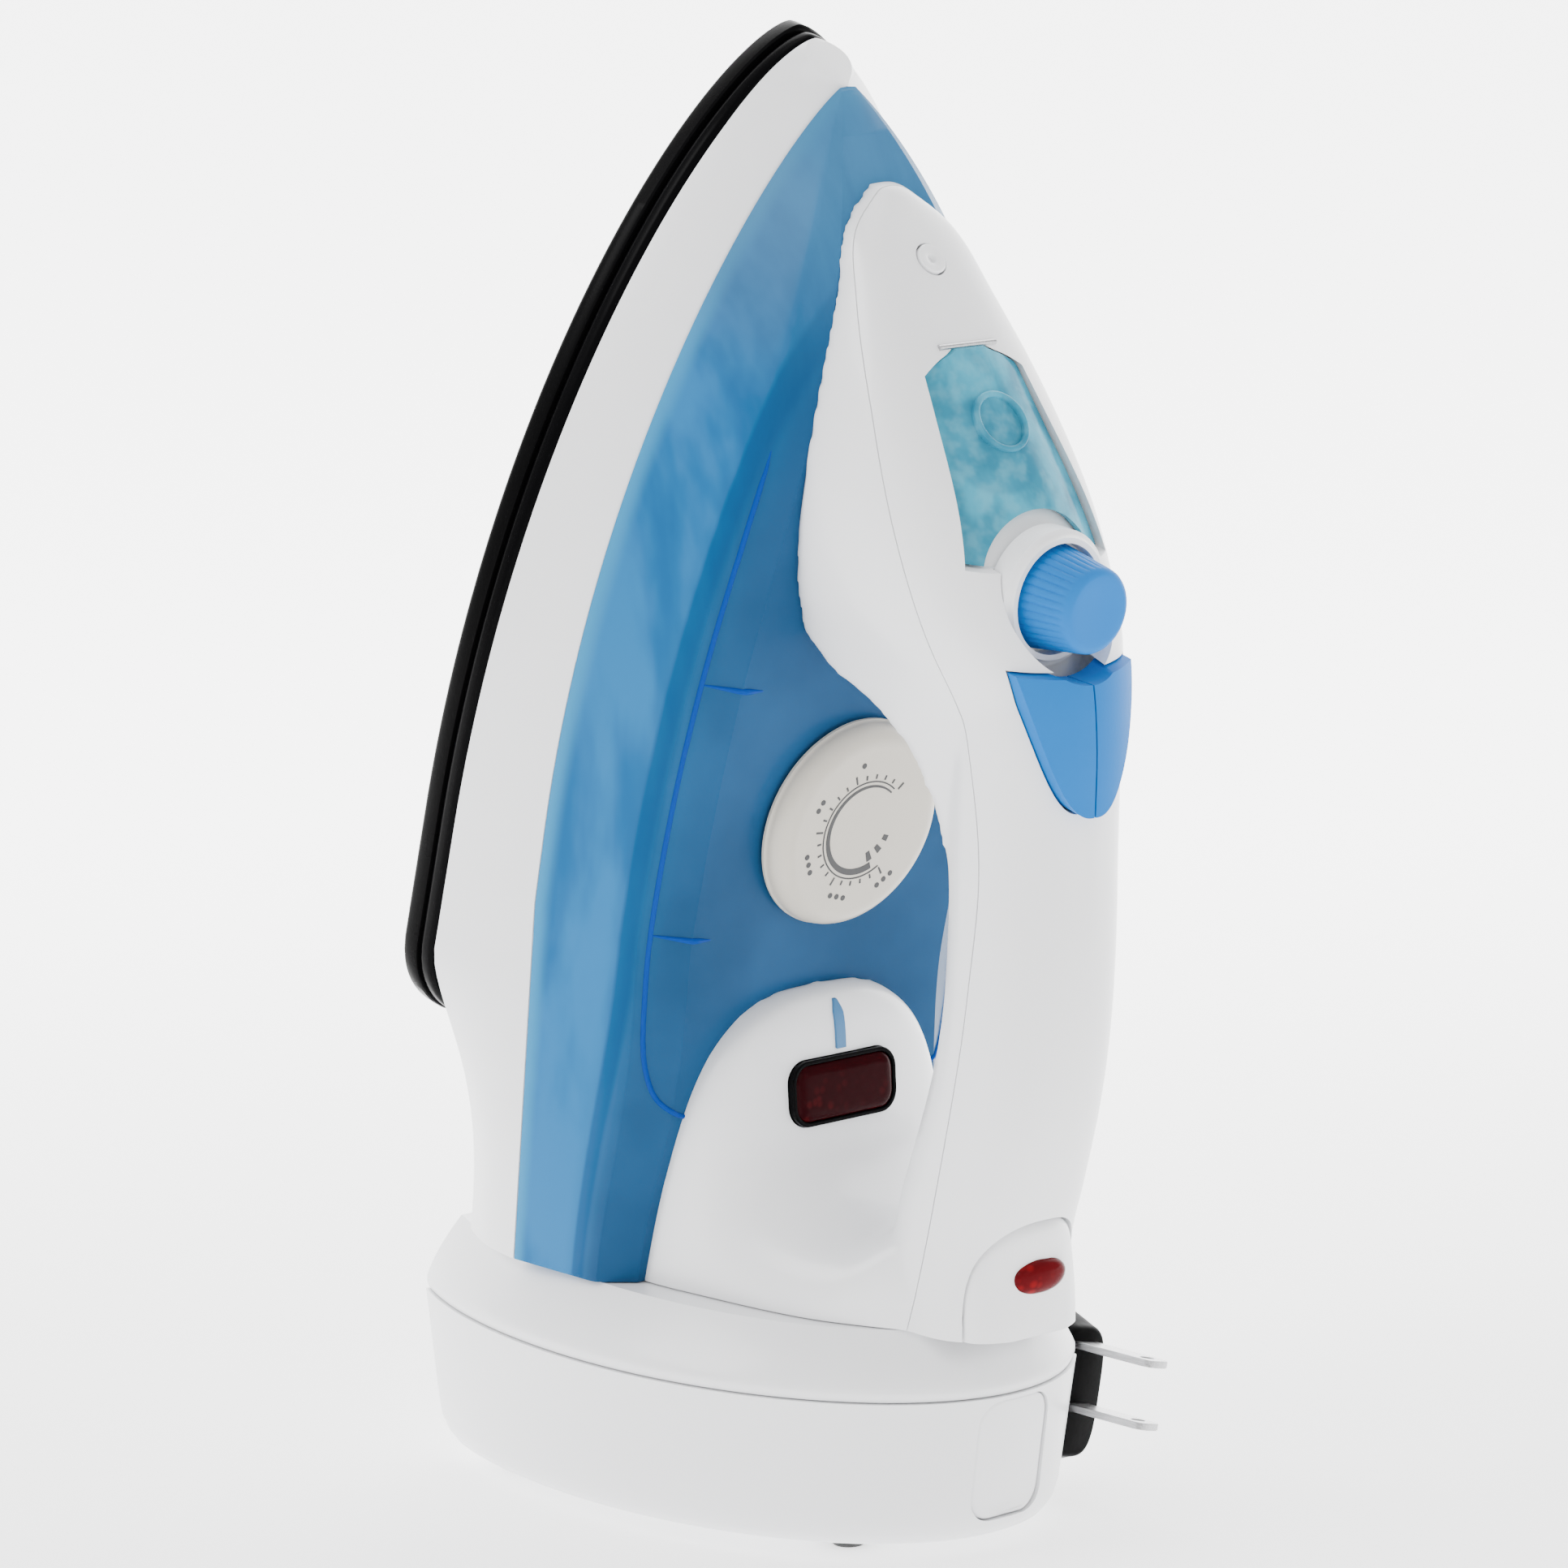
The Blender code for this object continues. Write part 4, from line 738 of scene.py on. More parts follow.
def make_skirt():
    levels = []
    for i in range(13):
        share = i / 12
        swell = 0.0016 * math.sin(math.pi * share)
        levels.append(skirt_level(share, swell, between(flat(BAND_HEIGHT + GAP), tank_floor, share)))
    shell = bare("skirt_look", layered(levels, spread(120)))
    carve(shell, [below_seam()], solver="EXACT")
    piece("skirt_look", shell, "iron", "white_plastic", ["skirt"], 0.0006)


def tank_level(side, draw_in, z):
    nose = TANK_NOSE - draw_in

    def point(station):
        x = nose - (nose - BODY_REAR) * station
        width = side(x) * tank_half_width(x - 0.001)
        return x, max(width, 0.0008 * station**0.5) if station else 0.0, z(x)

    return point


def tank_section(t):
    """Level of the tank's wall, where t is 0 at its floor, 1 at its shoulder and 2 at the deck's edge."""

    def side(x):
        wide = smooth((0.030 - x) / 0.060)
        shoulder, deck = 0.85 + 0.10 * wide, 0.66 + 0.14 * wide
        return mix(1.0, shoulder, t) if t <= 1 else mix(shoulder, deck, t - 1)

    def z(x):
        floor, deck = tank_floor(x) + GAP, deck_height(x)
        shoulder = floor + 0.8 * (deck - floor)
        return mix(floor, shoulder, t) if t <= 1 else mix(shoulder, deck, t - 1)

    return tank_level(side, 0.0005 * min(t, 1) + 0.0007 * max(t - 1, 0), z)


def make_tank():
    places = [0, 0.03, 0.12, 0.3, 0.5, 0.7, 0.85, 0.95, 1.05, 1.15, 1.3, 1.5, 1.7, 1.85, 1.93, 2.0]
    shell = bare("water_tank_look", layered([tank_section(t) for t in places], spread(120)))
    carve(shell, [below_seam()], solver="EXACT")
    piece("water_tank_look", shell, "iron", "blue_tank", ["water_tank"], 0.0009, 28.0)

    def on_wall(x, y):
        """Point of the tank's upper wall at a length and a half width."""
        best = None
        for i in range(61):
            t = 1 + i / 60
            nose = TANK_NOSE - 0.0005 - 0.0007 * (t - 1)
            point = tank_section(t)((nose - x) / (nose - BODY_REAR))
            if best is None or abs(point[1] - y) < abs(best[1] - y):
                best = point
        height = deck_height(x) if y < best[1] - 0.0005 else best[2]
        return Vector((x, y, height))

    # The seam between the tank's wall and its deck, with two level marks.
    seam_share = 0.8025
    lengths = (0.142, 0.125, 0.105, 0.085, 0.065, 0.045, 0.028, 0.016)
    route = [(x, seam_share * tank_half_width(x)) for x in lengths]
    route += [(0.0085, 0.0390), (0.0050, 0.0350), (0.0035, 0.0310)]
    line = []
    for i in range(120):
        x, y = hermite(route, i / 119 * (len(route) - 1))
        line.append(on_wall(x, y))
    ribs = []
    for side in (1, -1):
        points = [Vector((p.x, side * p.y, p.z - 0.0001)) for p in line]
        ribs.append(rod(points, 0.00055))
        for x in (0.0950, 0.0420) if side == 1 else ():
            start = min(line, key=lambda p: abs(p.x - x))
            inward = [on_wall(x - 0.0012 * i / 8, start.y - 0.0125 * i / 8) for i in range(9)]
            ribs.append(rod([Vector((p.x, side * p.y, p.z - 0.0001)) for p in inward], 0.0008))
    piece("tank_ribs", joined(*ribs), "iron", "blue_tank", look=tank_rib())


def rod(points, radius, sides=10):
    """A closed round bar along points, with tapered ends."""
    rings = []
    last = len(points) - 1
    for i, point in enumerate(points):
        ahead = (points[min(i + 1, last)] - points[max(i - 1, 0)]).normalized()
        across = ahead.cross(Vector((0, 0, 1))).normalized()
        up = across.cross(ahead)
        size = radius * min(1.0, 0.25 + i / 8, 0.25 + (last - i) / 4)
        ring = []
        for k in range(sides):
            a = 2 * math.pi * k / sides
            ring.append(point + (across * math.cos(a) + up * math.sin(a)) * size)
        rings.append(ring)
    return loft(rings)


# ---- Handle, pod and rear housing: one moulding split along the shell's seam ----
def pod_level(share, width_share):
    def point(station):
        x = POD_NOSE - (POD_NOSE - flow(POD_REAR, share)) * station
        low, high = deck_height(x) + GAP - 0.001, ridge_height(x)
        return x, max(width_share * flow(POD_WIDTH, x), 0.001) if station else 0.0, mix(low, high, share)

    return point


def pod():
    rows = (  # share of the height, share of the width
        (0.0, 1.0), (0.22, 1.0), (0.45, 0.99), (0.65, 0.94), (0.80, 0.84), (0.90, 0.70), (0.96, 0.52),
        (1.0, 0.26),
    )
    levels = [hermite(rows, i / 6) for i in range(6 * (len(rows) - 1) + 1)]
    return layered([pod_level(s, w) for s, w in levels], spread(70, 1.25))


def grip():
    rings = []
    steps = 110
    for step in range(steps + 1):
        x = mix(HANDLE_FRONT, HANDLE_REAR, step / steps)
        half_height = HANDLE_HALF_HEIGHT + 0.0018 * smooth((0.05 - x) / 0.05)
        half_width = HANDLE_HALF_WIDTH + 0.0015 * smooth((0.0 - x) / 0.05)
        centre = ridge_height(x) - half_height
        rings.append([(x, y, centre + z) for y, z in ellipse(48, half_width, half_height, 2.4)])
    return loft(rings)


def housing_level(height, front, half_width):
    middle = -0.030
    straight = 0.7  # station where the round front ends

    def point(station):
        turn = min(station / straight, 1.0) * math.pi / 2
        x = middle + (front - middle) * max(math.cos(turn), 0.0) ** 0.7
        if station > straight:
            x = middle + (BODY_REAR - middle) * (station - straight) / 0.3
        return x, half_width * math.sin(turn) ** 0.75, max(height, deck_height(x) - 0.003)

    return point


def rear_column():
    count = 5 * (len(HOUSING_LEVELS) - 1)
    levels = [hermite(HOUSING_LEVELS, i / 5) for i in range(count + 1)]
    return layered([housing_level(*row) for row in levels], [i / 70 for i in range(71)])


def seam_side(above):
    """Everything on one side of the seam between the handle's top and its lower shell."""
    edge = []
    for i in range(8 * (len(SEAM) - 1) + 1):
        x, z = hermite(SEAM, i / 8)
        edge.append((x, z + (-GAP / 2 if above else GAP / 2)))
    far = 0.30 if above else -0.05
    front = edge[0][0] + 0.02
    outline = edge + [(edge[-1][0], far), (front, far), (front, edge[0][1] - 0.01)]
    return prism(outline, -0.08, 0.08, "Y")


def lid_half_width(x):
    share = (LID_FRONT - x) / (LID_FRONT - LID_REAR)
    return LID_HALF_WIDTH * min(max(share, 0.0) / LID_CORNER_SHARE, 1.0) ** 0.5 + LID_FLARE * share


def lid_rings(grow, low, high, front=LID_FRONT, rear=LID_REAR, steps=44):
    rings = []
    for step in range(steps + 1):
        x = mix(front, rear, step / steps)
        half = max(lid_half_width(min(x, LID_FRONT - 0.0004)) + grow, 0.002)
        across = [half * (-1 + 2 * i / 20) for i in range(21)]
        crown = ridge_height(x)
        upper = [(x, y, crown + high - LID_CAMBER * y * y) for y in across]
        rings.append(upper + [(x, y, crown + low - LID_CAMBER * y * y) for y in across[::-1]])
    return rings


def button_rings(side, grow, low, high, steps=30):
    front, rear = BUTTON_FRONT + grow, BUTTON_REAR - grow
    rings = []
    for step in range(steps + 1):
        share = 1 - math.sin(math.pi / 2 * step / steps)
        x = mix(rear, front, share)
        outer = 0.0008 + (BUTTON_HALF_WIDTH - 0.0004) * share**0.46 + grow
        inner = -grow if grow else 0.0002
        across = [mix(inner, outer, i / 12) for i in range(13)]
        crown = ridge_height(x)
        upper = [(x, side * y, crown + high - BUTTON_CAMBER * y * y) for y in across]
        rings.append(upper + [(x, side * y, crown + low) for y in across[::-1]])
    return rings


def rewind_outline(shrink=0.0):
    half = REWIND_HALF
    return [(REWIND_CENTRE + u, v) for u, v in ellipse(72, half[0] - shrink, half[1] - shrink, 2.6)]


def nozzle_place():
    on_ridge = Matrix.Translation((NOZZLE_X, 0, ridge_height(NOZZLE_X)))
    return on_ridge @ Matrix.Rotation(NOZZLE_TILT, 4, "Y")


def make_shells():
    """The white moulding, cut along its seam and for everything that sits in it."""
    whole = skin_over("shell", joined(pod(), grip(), rear_column()), 0.0011, 9)
    lid_room = loft(lid_rings(0.0007, -0.0017, 0.020, LID_FRONT + 0.0007, LID_REAR - 0.0006))
    seat = moved(cylinder(COLLAR_RADIUS + GAP, -0.004, 0.03), KNOB_AT)
    lift = ridge_height(REWIND_CENTRE)
    cap = prism(rewind_outline(), lift - 0.030, lift + 0.03)
    buttons = [loft(button_rings(side, 0.0004, -0.012, 0.020)) for side in (1, -1)]
    nozzle = moved(cylinder(0.0036, -0.006, 0.01, 48), nozzle_place())
    window = moved(prism(rounded(*WINDOW_SIZE, 0.0046), -0.0026, 0.008), WINDOW_AT)

    upper = bare("handle_top_look", bmesh_of(whole))
    carve(upper, [seam_side(False), below_seam(), lid_room, seat, cap, *buttons, nozzle])
    piece("handle_top_look", upper, "iron", "white_plastic", ["handle_top"], sharp=38)
    carve(whole, [seam_side(True), below_seam(), nozzle, window])
    replaced = ["handle_lower", "rear_housing"]
    piece("handle_lower_look", whole, "iron", "white_plastic", replaced, sharp=38)


def bmesh_of(made):
    mesh = bmesh.new()
    mesh.from_mesh(made.data)
    return mesh


# ---- What sits in the shells ----
def make_window():
    frame_depth = 0.0010
    outer = rounded(WINDOW_SIZE[0] - 0.0004, WINDOW_SIZE[1] - 0.0004, 0.0044)
    inner = rounded(WINDOW_SIZE[0] - 0.0022, WINDOW_SIZE[1] - 0.0022, 0.0036)
    border = bare("border", prism(outer, -0.0022, frame_depth))
    carve(border, [prism(inner, -0.01, 0.01)], solver="EXACT")
    piece("window_border", border, "iron", "black_plastic", bevel=0.0003, place=IRON @ WINDOW_AT)
    rings = []
    for shrink, z in ((0.0, -0.0020), (0.0, 0.0006), (0.0004, 0.0010), (0.0012, 0.0013), (0.0022, 0.0014)):
        size = (WINDOW_SIZE[0] - 0.0024 - 2 * shrink, WINDOW_SIZE[1] - 0.0024 - 2 * shrink)
        rings.append([(u, v, z) for u, v in rounded(*size, max(0.0035 - shrink, 0.0008))])
    piece("window_pane", loft(rings), "iron", "dark_red", ["pilot_window"], place=IRON @ WINDOW_AT)


def make_pointer():
    """The generic mark that the dial is read against: a small tapered bar on the housing's slope."""
    rings = []
    for i in range(13):
        share = i / 12
        x = mix(0.0262, 0.0172, share)
        half = 0.0013 * min(1.0, 0.35 + share * 3)
        height = housing_height(x)
        section = ((-half, -0.0006), (half, -0.0006), (half, 0.0004), (-half, 0.0004))
        rings.append([(x, y, height + z) for y, z in section])
    piece("pointer_mark", loft(rings), "iron", "blue_plastic", bevel=0.0001, look=mark_ink())


def housing_height(x):
    """Height of the rear housing's slope on the middle line, where its front end stands at x."""
    rows = [(front, height) for height, front, _ in HOUSING_LEVELS[1:8]]
    return flow(rows, x) + 0.0001


def make_dial():
    low, top = DECK_HEIGHT + 0.0005, DIAL_TOP
    profile = [(0.0, low), (0.0036, low), (DIAL_RADIUS - 0.0006, low), (DIAL_RADIUS, low + 0.0006)]
    profile.append((DIAL_RADIUS, low + 0.0012))
    for i in range(13):
        angle = math.radians(90 * i / 12)
        radius = DIAL_RADIUS - 0.0044 * (1 - math.cos(angle)) - 0.0003
        profile.append((radius, top - 0.0042 * (1 - math.sin(angle))))
    profile.append((0.0, top))
    place = IRON @ Matrix.Translation((DIAL_CENTRE, 0, 0))
    face = turned(profile, 128)
    piece("dial_look", face, "dial", "warm_white", ["temperature_dial"], place=place)
    high = top + 0.00008
    parts = [arc_strip(0.0082, 0.0097, -40, 205, high, 0.25), arc_strip(0.0103, 0.0106, -40, 215, high, 1.0)]
    for i in range(21):
        angle = -45 + 260 * i / 20
        parts.append(arc_strip(0.0110, 0.0120 if i % 5 else 0.0128, angle - 1.0, angle + 1.0, high, 1.0))
    for i in range(6):
        angle = math.radians(-40 + 51 * i)
        centre = Vector((0.0145 * math.cos(angle), 0.0145 * math.sin(angle), high))
        dots = min(i, 3)
        for k in range(dots):
            away = Matrix.Rotation(angle, 3, "Z") @ Vector((0, (k - (dots - 1) / 2) * 0.0019, 0))
            parts.append(moved(cylinder(0.0006, -0.0003, 0.0, 20), Matrix.Translation(centre + away)))
    for i, length in enumerate((0.0022, 0.0018, 0.0014)):
        angle = 205 + 22 * i
        parts.append(arc_strip(0.0078 - length, 0.0078, angle - 5, angle + 5, high, 1.0))
    piece("dial_print", joined(*parts), "dial", "black_plastic", place=place, look=print_ink())


def arc_strip(inner, outer, start, end, top, thin):
    """A printed arc from one angle to another, whose width grows from a share of itself to all of it."""
    steps = max(int((end - start) / 4), 2)
    rings = []
    for i in range(steps + 1):
        share = i / steps
        angle = math.radians(mix(start, end, share))
        near = mix(outer - (outer - inner) * thin, inner, share)
        c, s = math.cos(angle), math.sin(angle)
        corners = ((near, top - 0.0003), (outer, top - 0.0003), (outer, top), (near, top))
        rings.append([(r * c, r * s, z) for r, z in corners])
    return loft(rings)


def make_knob():
    place = IRON @ KNOB_AT
    edge = COLLAR_RADIUS
    collar = [(0.0036, -0.0038), (edge, -0.0038), (edge, 0.0008)]
    round_edge = 0.0014
    for a in (30, 60, 90):
        radius = edge - round_edge * math.sin(math.radians(a))
        collar.append((radius, 0.0008 + round_edge * (1 - math.cos(math.radians(a)))))
    bore = KNOB_BASE_RADIUS + 0.0005
    collar += [(bore, 0.0022), (bore, -0.0016), (0.0036, -0.0016)]
    piece("collar_look", turned(collar), "iron", "white_plastic", ["knob_collar"], place=place)
    ribs, per_rib = 36, 8
    rings = []
    low = -0.0012
    heights = [low, low + 0.0014, low + 0.0022, 0.003, 0.006, 0.009, 0.0105]
    crown = 0.0016
    heights += [KNOB_HEIGHT - crown * (1 - math.sin(math.radians(a))) for a in (15, 35, 55, 75, 90)]
    for z in heights:
        share = (z - low) / (KNOB_HEIGHT - low)
        radius = mix(KNOB_BASE_RADIUS, KNOB_TOP_RADIUS + 0.0006, share)
        drop = max(z - (KNOB_HEIGHT - crown), 0.0) / crown
        radius -= crown * (1 - math.sqrt(max(1 - drop * drop, 0.0)))
        depth = 0.00028 * smooth((z - low - 0.0014) / 0.001) * smooth((KNOB_HEIGHT - 0.0010 - z) / 0.0014)
        ring = []
        for i in range(ribs * per_rib):
            angle = 2 * math.pi * i / (ribs * per_rib)
            reach = radius - depth * (1 - abs(math.cos(ribs * angle / 2)) ** 0.6)
            ring.append((reach * math.cos(angle), reach * math.sin(angle), z))
        rings.append(ring)
    rim_ring = rings[-1]
    for shrink in (0.8, 0.5, 0.2):
        height = KNOB_HEIGHT - 0.0003 * (1 - shrink)
        rings.append([(x * shrink, y * shrink, height) for x, y, _ in rim_ring])
    piece("knob_look", loft(rings), "steam_control", "blue_plastic", ["steam_knob"], sharp=50, place=place)


def make_lid():
    lid = bare("lid", loft(lid_rings(0.0, -0.0010, LID_THICKNESS - 0.0010)))
    clear = COLLAR_RADIUS + 0.0024
    carve(lid, [moved(cylinder(clear, -0.02, 0.03), KNOB_AT)], solver="EXACT")
    piece("lid_look", lid, "lid", "teal_lid", ["inlet_lid"], 0.0005, 40)
    x = 0.1555
    slope = math.atan2(ridge_height(x - 0.004) - ridge_height(x + 0.004), 0.008)
    place = IRON @ Matrix.Translation((x, 0, ridge_height(x) + 0.0009)) @ Matrix.Rotation(slope, 4, "Y")
    ring = [(0.0052, -0.0008), (0.0066, -0.0008), (0.0066, 0.0002)]
    for a in (30, 60, 90, 120, 150):
        turn = math.radians(a)
        ring.append((0.0059 + 0.0007 * math.cos(turn), 0.0002 + 0.0006 * math.sin(turn)))
    ring.append((0.0052, 0.0002))
    piece("lid_thumb_ring", turned(ring, 72), "lid", "teal_lid", place=place)


def make_buttons():
    for name, side in (("spray", -1), ("steam", 1)):
        button = bare(name, loft(button_rings(side, 0.0, -0.0045, 0.0034)))
        carve(button, [moved(cylinder(COLLAR_RADIUS + 0.0008, -0.03, 0.03), KNOB_AT)], solver="EXACT")
        body, replaced = f"{name}_trigger", [f"{name}_button"]
        piece(f"{name}_button_look", button, body, "blue_plastic", replaced, 0.0008, 32)


def make_rewind():
    rings = []
    skirt = -0.0060
    steps = (
        (skirt, 0.0), (-0.0012, 0.0), (-0.0002, 0.0002), (0.0005, 0.0008), (0.0010, 0.0018), (0.0013, 0.0035),
        (0.0015, 0.0065),
    )
    for offset, shrink in steps:
        camber = CAP_CAMBER if offset > skirt else 0
        outline = rewind_outline(0.0005 + shrink)
        rings.append([(x, y, ridge_height(x) + offset - camber * y * y) for x, y in outline])
    cap = bare("cap", loft(rings))
    carve(cap, [below_seam()], solver="EXACT")
    piece("rewind_cap", cap, "rewind", "white_plastic", ["rewind_button"])
    x = -0.0035
    outline = ellipse(48, 0.0036, 0.0066, 2.2)
    rings = [[(u, v, -0.003) for u, v in outline]]
    for i in range(9):
        angle = math.radians(11 * i)
        height = 0.0002 + 0.0024 * math.sin(angle)
        rings.append([(u * math.cos(angle), v * math.cos(angle), height) for u, v in outline])
    place = IRON @ Matrix.Translation((x, 0, ridge_height(x) + 0.0008))
    piece("rewind_lens_look", loft(rings), "rewind", "red_lens", ["rewind_lens"], place=place)


def make_nozzle():
    profile = (
        (0, -0.005), (0.0032, -0.005), (0.0032, 0.0003), (0.0029, 0.0006), (0.0020, 0.0007), (0.0010, 0.0003),
        (0.0006, -0.0006), (0, -0.0006),
    )
    tip = turned(profile, 48)
    place = IRON @ nozzle_place()
    piece("nozzle_look", tip, "iron", "white_plastic", ["spray_nozzle"], place=place)


# ---- Heel ----
def heel_level(inset, z, rear_inset=0.0):
    rear = HEEL_REAR + rear_inset
    widest = 0.62  # station of the heel's widest place

    def point(station):
        front = HEEL_FRONT - inset
        turn = min(station / widest, 1.0) * math.pi / 2
        x = HEEL_WIDEST + (front - HEEL_WIDEST) * math.cos(turn)
        width = (HEEL_HALF_WIDTH - inset) * math.sin(turn)
        if station > widest:
            x = mix(HEEL_WIDEST, rear, (station - widest) / 0.38)
            out = (HEEL_WIDEST - x) / (HEEL_REAR_RUN - 0.5 * inset)
            width = (HEEL_HALF_WIDTH - inset) * math.sqrt(1 - out * out)
        return x + CENTRING, width, z(x)

    return point


def make_heel():
    stations = [i / 120 for i in range(121)]
    draw_in, turn_height = 0.0036, 0.0062
    turned_in = (  # inset, height above the bottom, inset at the rear
        (0.0095, 0.0, 0.012), (0.0085, 0.0003, 0.0112), (0.0060, 0.0014, 0.0084), (0.0045, 0.0034, 0.0044),
        (draw_in, turn_height, 0.0010),
    )
    low = [heel_level(inset, flat(HEEL_BOTTOM + height), rear) for inset, height, rear in turned_in]
    for share in (0.25, 0.5, 0.75, 0.93, 1.0):
        low.append(heel_level(draw_in * (1 - share), between(flat(HEEL_BOTTOM + turn_height), rim, share)))
    housing = bare("housing", layered(low, stations))
    rear = NOTCH_REAR + CENTRING
    outline = [(rear, NOTCH_FLOOR), (0.12, NOTCH_FLOOR), (0.12, 0.08), (rear, 0.08)]
    top = rim(NOTCH_REAR) + 0.0065
    half, foot, head = 0.0095, HEEL_BOTTOM + 0.0045, rim(HEEL_FRONT) - 0.0008
    front = HEEL_FRONT + CENTRING
    at_slot = Matrix.Translation((front - 0.0105, 0, (head + foot) / 2))
    facing = Matrix.Rotation(math.pi / 2, 4, "Y")
    slot = moved(prism(rounded(head - foot, 2 * half, 0.0050), 0, 0.02), at_slot @ facing)
    carve(housing, [prism(outline, HEEL_BOTTOM + 0.0022, top), slot], solver="EXACT")
    piece("heel_housing", housing, "iron", "white_plastic", ["reel_housing"], 0.0005, 40, UPRIGHT)

    def under_cover(x):
        return rim(x) + GAP

    def over_cover(x):
        return heel_seam(x) - GAP / 2

    shoulder = []
    for i in range(13):
        share = i / 12
        edge = 0.0008 * (1 - math.sin(math.pi / 2 * min(share * 6, 1.0)))
        inset = edge + 0.0100 * max(share - 0.10, 0.0) ** 1.35
        shoulder.append(heel_level(inset, between(under_cover, over_cover, share), 0.0055 * share**1.4))
    cover = bare("cover", layered(shoulder, stations))
    carve(cover, [prism(outline, HEEL_BOTTOM + 0.0022, top)], solver="EXACT")
    piece("heel_cover", cover, "iron", "white_plastic", ["reel_cover"], 0.0005, 40, UPRIGHT)

    def reach(z, y):
        return front - 0.0004 - 0.0042 * (1 - (z - foot) / (head - foot)) - y * y * 16

    outline = rounded(head - foot - 2 * GAP, 2 * (half - GAP), 0.0048)
    rings = []
    for depth, shrink in ((0.0085, 0.0), (0.0004, 0.0), (0.0001, 0.0003), (0.0, 0.0008)):
        ring = []
        for u, v in outline:
            u, v = u * (1 - shrink / 0.012), v * (1 - shrink / 0.009)
            z = (head + foot) / 2 - u
            ring.append((reach(z, v) - depth, v, z))
        rings.append(ring)
    piece("end_panel_look", loft(rings), "iron", "white_plastic", ["end_panel"], place=UPRIGHT)
    for name, x, y, radius in (
        ("peg_left", -0.050, -0.030, 0.0026), ("peg_right", -0.050, 0.030, 0.0026),
        ("foot_left", 0.036, -0.018, 0.0042), ("foot_right", 0.036, 0.018, 0.0042),
    ):
        profile = [
            (0, 0), (radius - 0.0012, 0), (radius - 0.0008, 0.0003), (radius - 0.0005, 0.0009),
            (radius, 0.0027), (radius, 0.0034), (0, 0.0034),
        ]
        place = Matrix.Translation((x + CENTRING, y, 0))
        piece(f"{name}_look", turned(profile, 40), "iron", "rubber", [f"heel_{name}"], place=place)


def make_plug():
    half, thick = PLUG_HALF_HEIGHT, PLUG_HALF_THICKNESS
    rows = (  # place along the plug, share of its half thickness, share of its half height
        (0.0, 0.50, 0.46), (0.0008, 0.62, 0.66), (0.0025, 0.86, 0.96), (0.0045, 0.98, 1.07),
        (0.0080, 1.0, 1.09), (0.0115, 0.99, 1.02), (0.0140, 0.97, 0.96), (0.0155, 0.94, 0.93),
        (0.0162, 0.90, 0.90), (PLUG_LENGTH, 0.84, 0.86),
    )
    rows = [(x, across * thick, high * half) for x, across, high in rows]
    rings = []
    for i in range(4 * (len(rows) - 1) + 1):
        x, across, high = hermite(rows, i / 4)
        rings.append([(x, y, z - PLUG_DROP * smooth(x / 0.002)) for y, z in ellipse(64, across, high, 3.6)])
    piece("plug_look", loft(rings), "plug", "plug_pvc", ["plug_body"], place=PLUG_AT)
    for name, side in (("upper", 1), ("lower", -1)):
        middle = side * BLADE_SPACING / 2
        tip = PLUG_LENGTH + BLADE_LENGTH
        wide = BLADE_WIDTH / 2
        outline = [(PLUG_LENGTH - 0.002, -wide), (tip - 0.0022, -wide)]
        outline += [(tip - 0.0008, -wide + 0.0006), (tip, -wide + 0.0018)]
        outline += [(u, -v) for u, v in outline[::-1]]
        blade = bare(name, prism(outline, middle - BLADE_THICKNESS / 2, middle + BLADE_THICKNESS / 2))
        eye = moved(cylinder(0.0015, -0.003, 0.003, 40), Matrix.Translation((tip - 0.0042, 0, middle)))
        carve(blade, [eye], solver="EXACT")
        piece(f"blade_{name}", blade, "plug", "steel", [f"plug_blade_{name}"], 0.0002, place=PLUG_AT)


# ---- Stage ----
def make_stage():
    """A pale floor that sweeps up behind the iron and glows as painted light, most on the backdrop behind it.
    """
    mesh = bmesh.new()
    away = Vector((-math.sin(CAMERA_TURN), math.cos(CAMERA_TURN), 0))
    aside = Vector((math.cos(CAMERA_TURN), math.sin(CAMERA_TURN), 0))
    profile = [(-4.0, 0.0), (1.0, 0.0)]
    for a in range(6, 91, 6):
        profile.append((1.0 + 1.5 * math.sin(math.radians(a)), 1.5 - 1.5 * math.cos(math.radians(a))))
    profile.append((2.5, 5.0))
    rows = []
    for side in (-5.0, 5.0):
        rows.append([mesh.verts.new(away * d + aside * side + Vector((0, 0, h))) for d, h in profile])
    for i in range(len(profile) - 1):
        mesh.faces.new((rows[0][i], rows[0][i + 1], rows[1][i + 1], rows[1][i]))
    bmesh.ops.recalc_face_normals(mesh, faces=mesh.faces)
    floor = bare("floor", mesh)
    floor.data.shade_smooth()

    def look(place):
        # The floor glows: painted light, dim in front of the iron and bright on the backdrop behind it.
        behind = place.dot(tuple(away)).ramp(-0.20, 0.80)
        return {
            "Base Color": place.noise(3.0).blend((0.85, 0.85, 0.85), (0.87, 0.87, 0.87)),
            "Roughness": 0.8 + (place.noise(8.0) - 0.5) * 0.05,
            "Emission Color": behind.blend((0.30, 0.30, 0.30), (1, 1, 1)),
        }

    floor.data.materials.append(finish("glowing_floor", look, emission_strength=4.0, specular_ior_level=0.1))


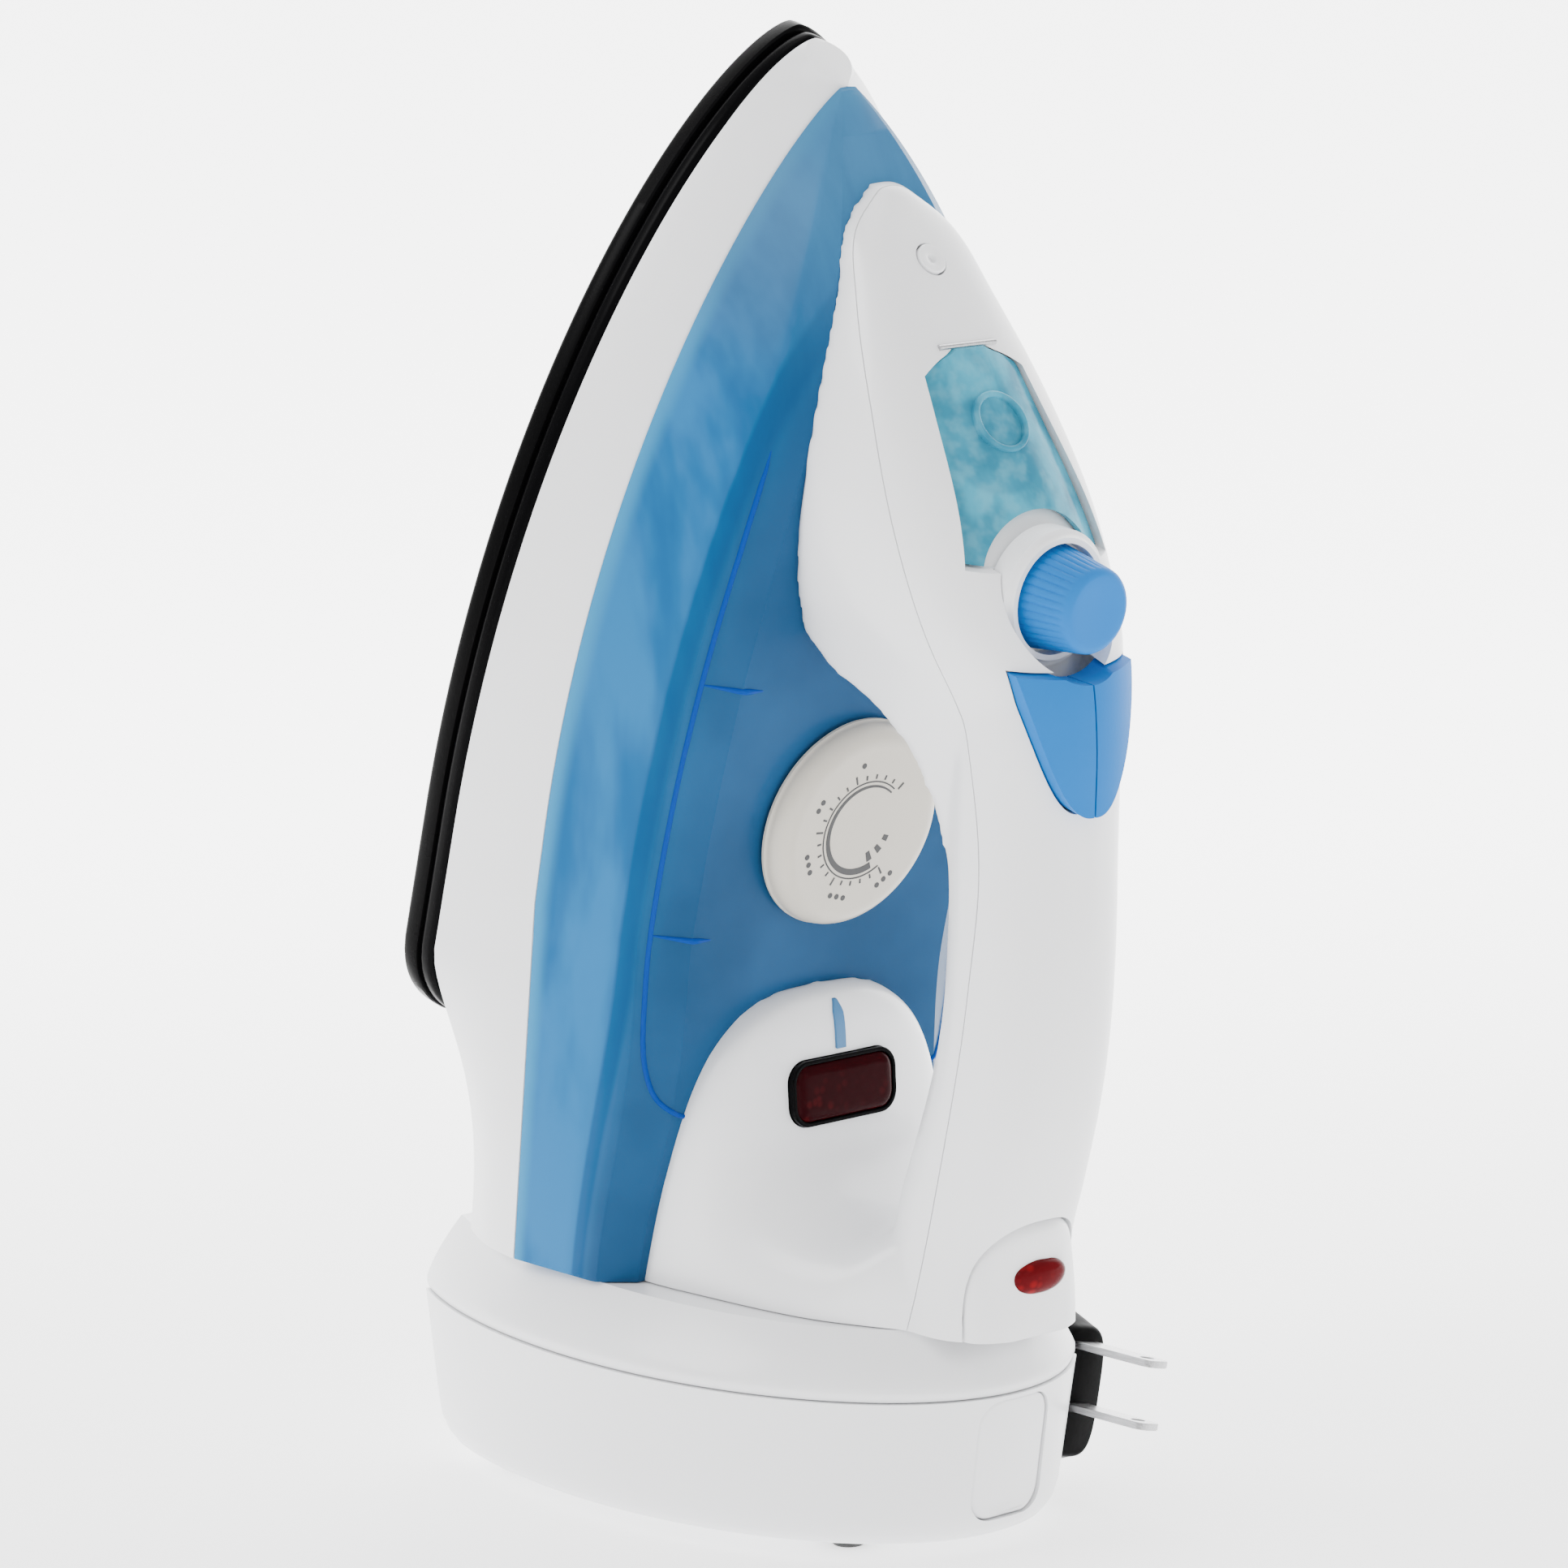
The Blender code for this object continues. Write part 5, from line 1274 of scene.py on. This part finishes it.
def area(name, place, target, size, power, colour=(1, 1, 1)):
    data = bpy.data.lights.new(name, "AREA")
    data.size = size
    data.energy = power
    data.color = colour
    lamp = bpy.data.objects.new(name, data)
    lamp.location = place
    lamp.rotation_euler = (Vector(target) - Vector(place)).to_track_quat("-Z", "Y").to_euler()
    bpy.context.collection.objects.link(lamp)


CAMERA_TURN, CAMERA_RISE = math.radians(47.89), math.radians(10.3)
CAMERA_TARGET = Vector((-0.0099, 0.0, 0.147))
CAMERA_DISTANCE = 1.35528


def make_camera():
    a, e = CAMERA_TURN, CAMERA_RISE
    back = Vector((math.sin(a) * math.cos(e), -math.cos(a) * math.cos(e), math.sin(e)))
    right = Vector((math.cos(a), math.sin(a), 0))
    up = Vector((-math.sin(a) * math.sin(e), math.cos(a) * math.sin(e), math.cos(e)))
    data = bpy.data.cameras.new("camera")
    data.sensor_width = 36
    data.lens = 154.75
    data.shift_x = -0.00205
    data.shift_y = -0.00045
    camera = bpy.data.objects.new("camera", data)
    bpy.context.collection.objects.link(camera)
    turn = Matrix((right, up, back)).transposed().to_4x4()
    roll = Matrix.Rotation(math.radians(-0.56), 4, "Z")
    camera.matrix_world = Matrix.Translation(CAMERA_TARGET + back * CAMERA_DISTANCE) @ turn @ roll
    bpy.context.scene.camera = camera


def make_light():
    world = bpy.data.worlds.new("studio")
    bpy.context.scene.world = world
    world.use_nodes = True
    world.node_tree.nodes["Background"].inputs["Color"].default_value = (1, 1, 1, 1)
    world.node_tree.nodes["Background"].inputs["Strength"].default_value = 1.0
    area("key", (-0.6, -1.5, 1.5), (0, 0, 0.15), 0.9, 22)
    area("side", (1.5, -0.3, 0.9), (0, 0, 0.15), 1.0, 5, (1.0, 0.97, 0.93))
    area("top", (0.1, 0.2, 1.8), (0, 0, 0.15), 1.0, 7)


def main():
    record = frame["record"]
    slots = {part["node"]: part["material_slot"] for part in record["subparts"]}
    for name, node in frame["nodes"].items():
        node.data.materials.clear()
        node.data.materials.append(finish_for(slots[name]))
    makers = (
        make_sole, make_skirt, make_tank, make_shells, make_window, make_pointer, make_dial, make_knob,
        make_lid, make_buttons, make_rewind, make_nozzle, make_heel, make_plug, make_stage, make_camera,
        make_light,
    )
    for make in makers:
        make()


main()
